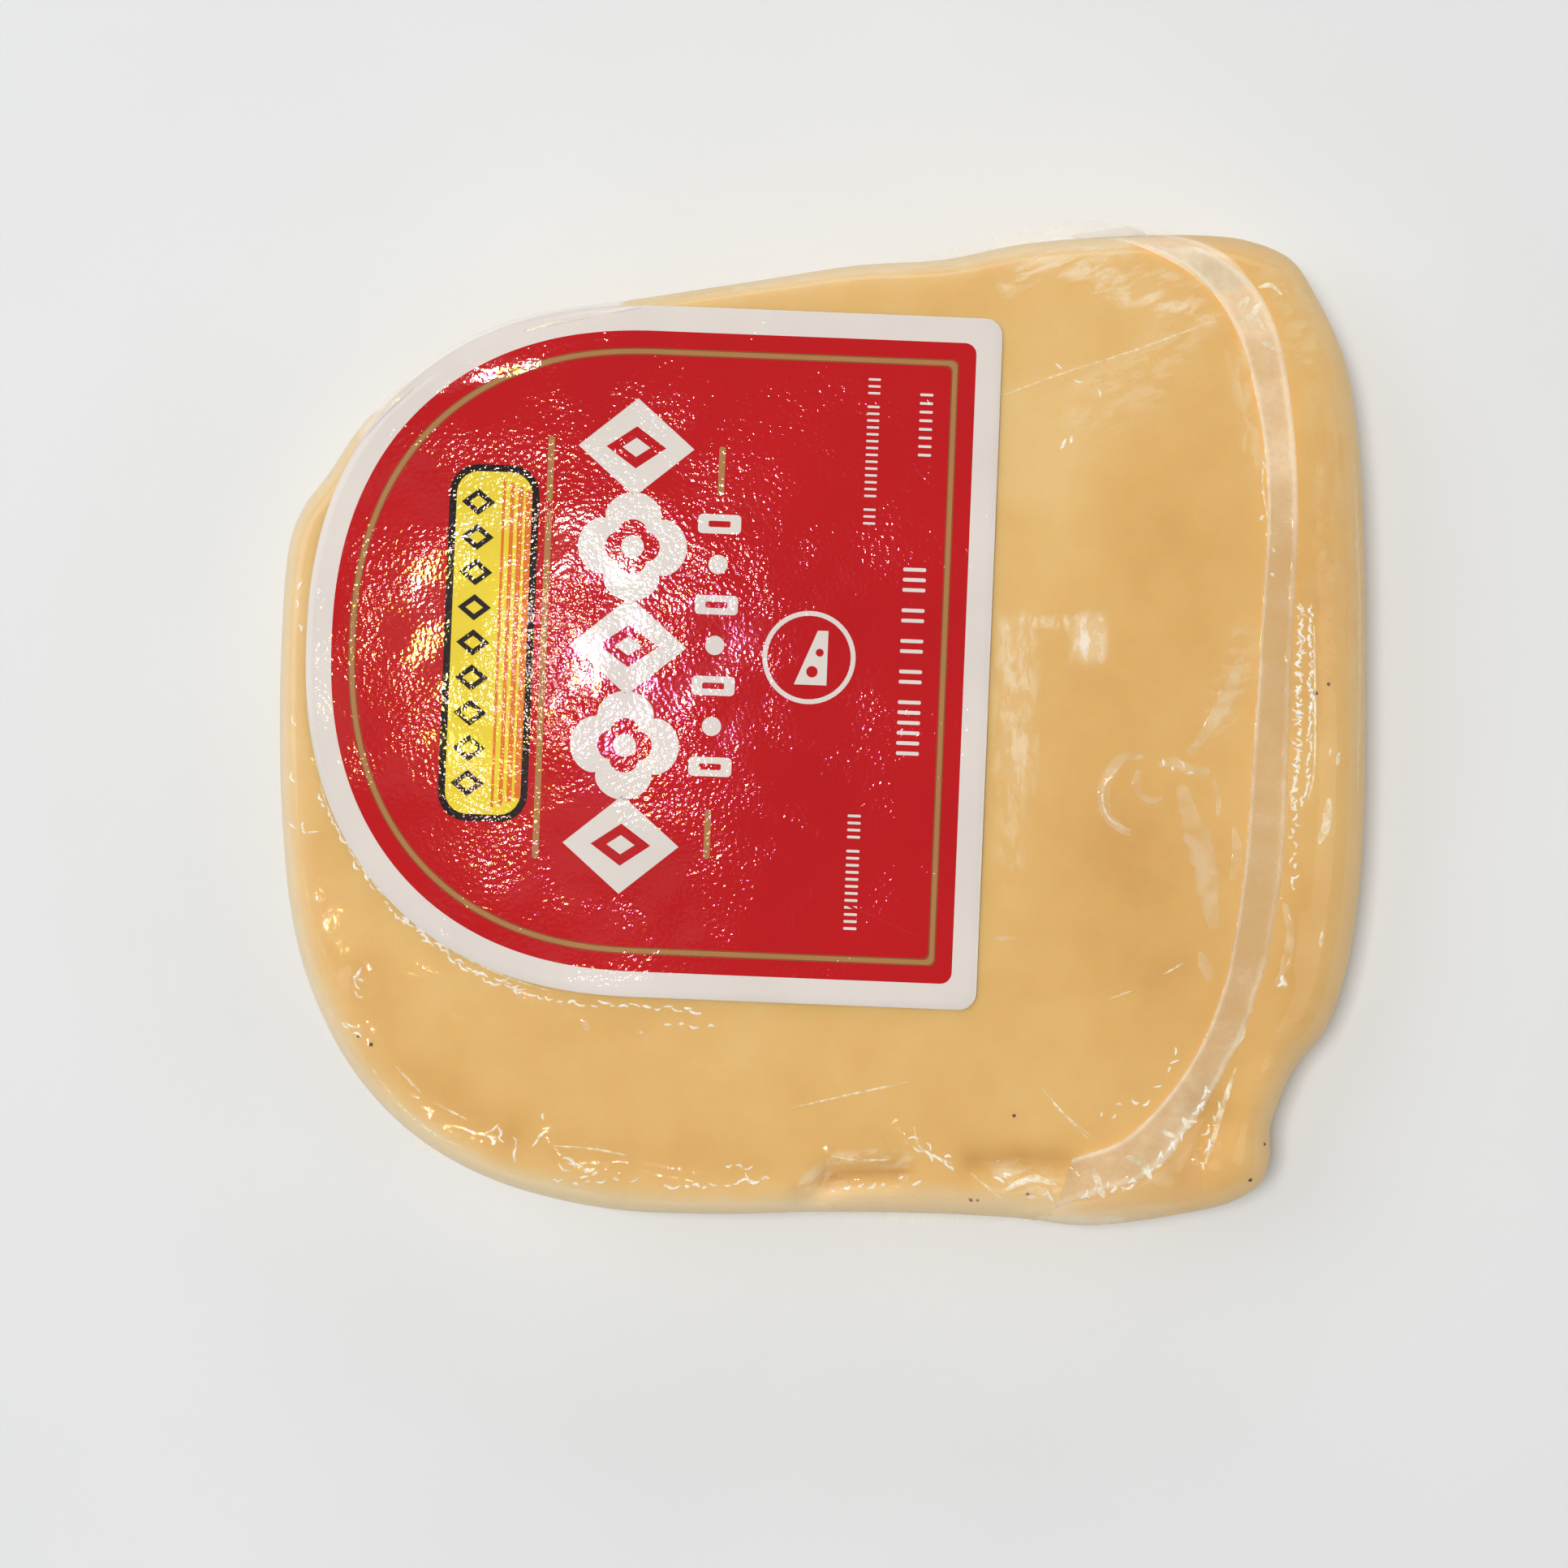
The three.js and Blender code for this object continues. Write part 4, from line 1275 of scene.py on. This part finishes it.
def draw_crest(sheet):
    """A yellow band in a dark outline, with a row of lozenges above and orange stripes below."""
    middle_v = 0.2
    sheet.plate("black", bar_loop((-18.1, middle_v), (10.2, 40.6), 3.2, steps=24), layer=1, rings=12)
    sheet.plate("yellow", bar_loop((-18.1, middle_v), (8.6, 39), 2.5, steps=24), layer=2, rings=12)
    for index in range(9):
        centre = (-19.9, middle_v + (index - 4) * 4)
        sheet.plate("black", lozenge_loop(centre, 1.9, 1.5), layer=3)
        sheet.plate("yellow", lozenge_loop(centre, 1.0, 0.75), layer=4, rings=3)
    for row in range(4):
        width = 0.3 + row * 0.14
        stripe = bar_loop((-17.0 + row * 0.95, middle_v), (width, 37.4 - row * 0.8), 0.14, steps=28)
        sheet.plate("orange", stripe, layer=3, rings=3)


def draw_band(sheet):
    """A band of white lozenges and flowers, and a smaller one under it."""
    for index in range(5):
        centre = (-2.2, 0.5 + (index - 2) * 11.3)
        if index % 2:
            sheet.plate("white", flower_loop(centre, 6.2), flower_loop(centre, 3.1))
            sheet.plate("white", disc_loop(centre, 1.3))
        else:
            sheet.plate("white", lozenge_loop(centre, 6.6, 5.6), lozenge_loop(centre, 3.4, 2.4))
            sheet.plate("white", lozenge_loop(centre, 1.6, 1.1))
    for index in range(7):
        centre = (7.6, 0.95 + (index - 3) * 4.6)
        if index % 2:
            sheet.plate("white", disc_loop(centre, 1.1, 24))
        else:
            sheet.plate("white", bar_loop(centre, (4.9, 2.2), 0.5), bar_loop(centre, (2.5, 0.7), 0.2))


def draw_rules(sheet):
    sheet.plate("bronze", bar_loop((-11.85, 0), (0.72, 48.1), 0.3, steps=36), rings=3)
    for centre_v in (20.75, -20.5):
        sheet.plate("bronze", bar_loop((7.6, centre_v), (0.72, 5.6), 0.3, steps=5), rings=3)


def draw_badge(sheet):
    """A white ring round a small wedge with two holes."""
    centre = (18.35, 0)
    sheet.plate("white", disc_loop(centre, 5.3), disc_loop(centre, 4.75))
    wedge = np.array([(-1.6, -3.1), (2.1, -3.1), (2.1, 3.1), (0.9, 3.1)])
    sheet.plate("white", sided_loop(wedge, 8) + np.array(centre))
    for du, dv, radius in ((0.4, -1.6, 0.65), (1.2, 0.6, 0.45)):
        sheet.plate("red", disc_loop((centre[0] + du, centre[1] + dv), radius, 20), layer=2, rings=3)


def draw_ticks(sheet):
    """Rows of fine white ticks in groups, in the label's lower corners and along its foot."""
    rows = [
        ((29.95, 0), (2.6, 0.42), 1.16, (3, 2, 2, 2, 6)),
        ((24.22, -24.18), (1.5, 0.3), 0.8, (4, 12)),
        ((24.56, 23.69), (1.4, 0.26), 0.78, (3, 14, 3)),
        ((30.54, 26.93), (1.5, 0.3), 0.98, (8,)),
    ]
    for (u, middle_v), (tall, wide), pitch, groups in rows:
        slots = sum(groups) + len(groups) - 1
        v = middle_v + (slots - 1) * pitch / 2
        for group in groups:
            for _ in range(group):
                sheet.plate("white", bar_loop((u, v), (tall, wide), wide * 0.4), rings=2)
                v -= pitch
            v -= pitch


def build_print():
    sheet = Print()
    draw_crest(sheet)
    draw_band(sheet)
    draw_rules(sheet)
    draw_badge(sheet)
    draw_ticks(sheet)
    colours = ["white", "yellow", "black", "orange", "bronze", "red"]
    build_inked("label_print", colours, list(sheet.solids()))


# ---- the folded heat seal ------------------------------------------------------------------------

def band_solid(inner, outer, level, thickness, across):
    """A thin closed band between two runs: its vertices and faces, and for each vertex its share across."""
    shares = np.linspace(0, 1, across)
    spots = inner[:, None, :] + (outer - inner)[:, None, :] * shares[None, :, None]
    flat = spots.reshape(-1, 2)
    low = level(flat[:, 0], flat[:, 1]).reshape(len(inner), across)
    high = low + thickness(shares)[None, :]
    sections = [
        np.vstack([np.column_stack([place, under]), np.column_stack([place, over])[::-1]])
        for place, under, over in zip(spots, low, high)
    ]
    around = np.tile(np.concatenate([shares, shares[::-1]]), len(inner))
    return closed_tube(sections), np.concatenate([[0.5], around, [0.5]])


def strip_height(x, y):
    """The folded seal's underside."""
    return sheet_height(x, y, STRIP_FOLLOWS) + STRIP_LIFT + np.abs(rippled(x, y, STRIP_WAVES))


def strip_face(x, y):
    return strip_height(x, y) + STRIP_THICKNESS


def strip_lips(shares):
    """The strip's two folded edges, seen across it: 1 at the inner fold and less at the outer one."""
    return np.exp(-((shares - 0.05) / 0.06) ** 2) + 0.7 * np.exp(-((shares - 0.9) / 0.08) ** 2)


def build_strip():
    inner = smooth_run(STRIP_INNER_EDGE, steps=60)
    outer = smooth_run(STRIP_OUTER_EDGE, steps=60)
    picks = np.linspace(0, len(inner) - 1, STRIP_STATIONS).astype(int)
    inner, outer = inner[picks], outer[picks]
    along = np.linspace(0, 1, STRIP_STATIONS)
    frayed = STRIP_FRAY * np.clip(along - STRIP_FRAYS_FROM, 0, None) * waves(along * 60, along * 0, 1, 31.5)
    width = np.linalg.norm(outer - inner, axis=1)
    outer = outer + (outer - inner) * (np.minimum(frayed, 0) / width)[:, None]

    def thickness(shares):
        return STRIP_THICKNESS + STRIP_LIP * strip_lips(shares)

    (vertices, faces), share = band_solid(inner, outer, strip_height, thickness, STRIP_COLUMNS)
    piece = add_object("seal_strip", vertices, faces)
    pale = np.interp(vertices[:, 1], STRIP_PALE_AT, STRIP_PALE)
    store(piece, "pale", np.clip(pale + STRIP_LIP_PALE_AND_SHEEN * strip_lips(share), 0, 1))
    finish_piece(piece, [strip_material()], "film", "seal_strip")


def build_flap(name, inner_edge, outer_edge, least_height, pale):
    """A thin flap of welded film that runs on from the strip, as pale along its way as pale says."""
    inner = evenly(smooth_run(inner_edge), FLAP_STATIONS)
    outer = evenly(smooth_run(outer_edge), FLAP_STATIONS)

    def level(x, y):
        return np.maximum(film_height(x, y), least_height) + FLAP_LIFT + np.abs(rippled(x, y, FLAP_WAVES))

    def thickness(shares):
        return FLAP_THICKNESS + FLAP_LIP * strip_lips(shares)

    (vertices, faces), share = band_solid(inner, outer, level, thickness, FLAP_COLUMNS)
    piece = add_object(name, vertices, faces)
    along = np.repeat(np.linspace(0, 1, FLAP_STATIONS), 2 * FLAP_COLUMNS)
    along = np.concatenate([[0], along, [1]])
    fading = np.interp(along, np.linspace(0, 1, len(pale)), pale)
    store(piece, "pale", np.clip(fading * (0.7 + 0.8 * strip_lips(share)), 0, 1))
    finish_piece(piece, [flap_film], "film", "pack")


# ---- camera, stage and lights --------------------------------------------------------------------

CAMERA_PLACE = (-4.6, -7.0, 444)        # straight above, looking down
VIEW_HALF_WIDTH = 91.6                  # of what the frame shows at the slab's widest height
SENSOR = 36.0

LIGHT_AIM = (0, 0, 10)

# Small bright lamps that the film's creases and the label's varnish mirror.
LAMP_POWER = 0.46
LAMP_SIZE = 40
LAMPS = [
    ("lamp_warm", (-176, 48, 1500), (1.0, 0.82, 0.12)),
    ("lamp_white", (-150, 84, 1500), (1.0, 0.98, 0.95)),
    ("lamp_rose", (-126, 42, 1500), (1.0, 0.28, 0.80)),
]

# The large soft lights: name, place, size, power and colour.
SOFT_LIGHTS = [
    ("glow", (-190, 40, 1500), (280, 280), 0.06, (1.0, 0.98, 0.95)),
    ("overhead", (-250, 60, 1450), (270, 270), 12.3, (1.0, 1.0, 0.99)),
    ("window", (-950, 350, 1200), (900, 900), 3.6, (0.97, 0.985, 1.0)),
    ("far_wall", (1250, -300, 1200), (900, 900), 2.8, (1.0, 0.93, 0.80)),
    ("back_wall", (200, 1350, 620), (1200, 500), 2.5, (1.0, 0.985, 0.96)),
]

# What surrounds the slab, from the horizon to overhead.
HORIZON_COLOUR = (0.50, 0.50, 0.495, 1)
ZENITH_COLOUR = (0.085, 0.09, 0.095, 1)
ZENITH_FROM = 0.8


def build_camera():
    data = bpy.data.cameras.new("camera")
    data.sensor_width = SENSOR
    data.lens = SENSOR / 2 * (CAMERA_PLACE[2] - WIDEST_HEIGHT) / VIEW_HALF_WIDTH
    data.clip_start = 0.01
    camera = bpy.data.objects.new("camera", data)
    camera.location = Vector(CAMERA_PLACE) * MM
    bpy.context.scene.collection.objects.link(camera)
    bpy.context.scene.camera = camera


def build_floor():
    half = 4000
    height = -0.05
    corners = [(-half, -half, height), (half, -half, height), (half, half, height), (-half, half, height)]
    floor = add_object("floor", corners, [(0, 1, 2, 3)])
    floor.data.materials.append(floor_material())


def add_area_light(name, place, size, power, colour):
    data = bpy.data.lights.new(name, "AREA")
    data.shape = "RECTANGLE"
    data.size, data.size_y = size[0] * MM, size[1] * MM
    data.energy = power
    data.color = colour
    lamp = bpy.data.objects.new(name, data)
    lamp.location = Vector(place) * MM
    lamp.rotation_euler = (Vector(LIGHT_AIM) - Vector(place)).to_track_quat("-Z", "Y").to_euler()
    bpy.context.scene.collection.objects.link(lamp)
    return lamp


def build_studio():
    for name, place, colour in LAMPS:
        add_area_light(name, place, (LAMP_SIZE, LAMP_SIZE), LAMP_POWER, colour)
    for name, place, size, power, colour in SOFT_LIGHTS:
        light = add_area_light(name, place, size, power, colour)
        light.visible_glossy = name != "overhead"       # the film and varnish mirror the others
    build_world()


def build_world():
    world = bpy.data.worlds.new("studio")
    world.use_nodes = True
    tree = world.node_tree
    background = tree.nodes["Background"]
    direction = tree.nodes.new("ShaderNodeTexCoord").outputs["Generated"]
    upward = tree.nodes.new("ShaderNodeSeparateXYZ")
    tree.links.new(direction, upward.inputs[0])
    ramp = tree.nodes.new("ShaderNodeValToRGB")
    tree.links.new(upward.outputs["Z"], ramp.inputs["Fac"])
    low, high = ramp.color_ramp.elements
    low.position, low.color = 0.0, HORIZON_COLOUR
    high.position, high.color = ZENITH_FROM, ZENITH_COLOUR
    tree.links.new(ramp.outputs["Color"], background.inputs["Color"])
    background.inputs["Strength"].default_value = 1.0
    bpy.context.scene.world = world
    bpy.context.scene.view_settings.view_transform = "Standard"


build_camera()
build_floor()
build_studio()

loose_film = loose_film_material()
flap_film = flap_film_material()
ink = {name: print_material(f"label_{name}", colour) for name, colour in INK_COLOURS.items()}

build_cheese()
build_film()
for side, fringe in FRINGES.items():
    build_fringe(f"film_fringe_{side}", *fringe)
build_ridges("film_creases", ridge_solids(CREASES, film_height))
build_ridges("film_pockets", ridge_solids(POCKETS, film_height, POCKET_RAGGED))
build_gathers()
build_glints()
build_specks()
build_label()
build_label_creases()
build_print()
build_strip()
for side, flap in FLAPS.items():
    build_flap(f"film_flap_{side}", *flap)
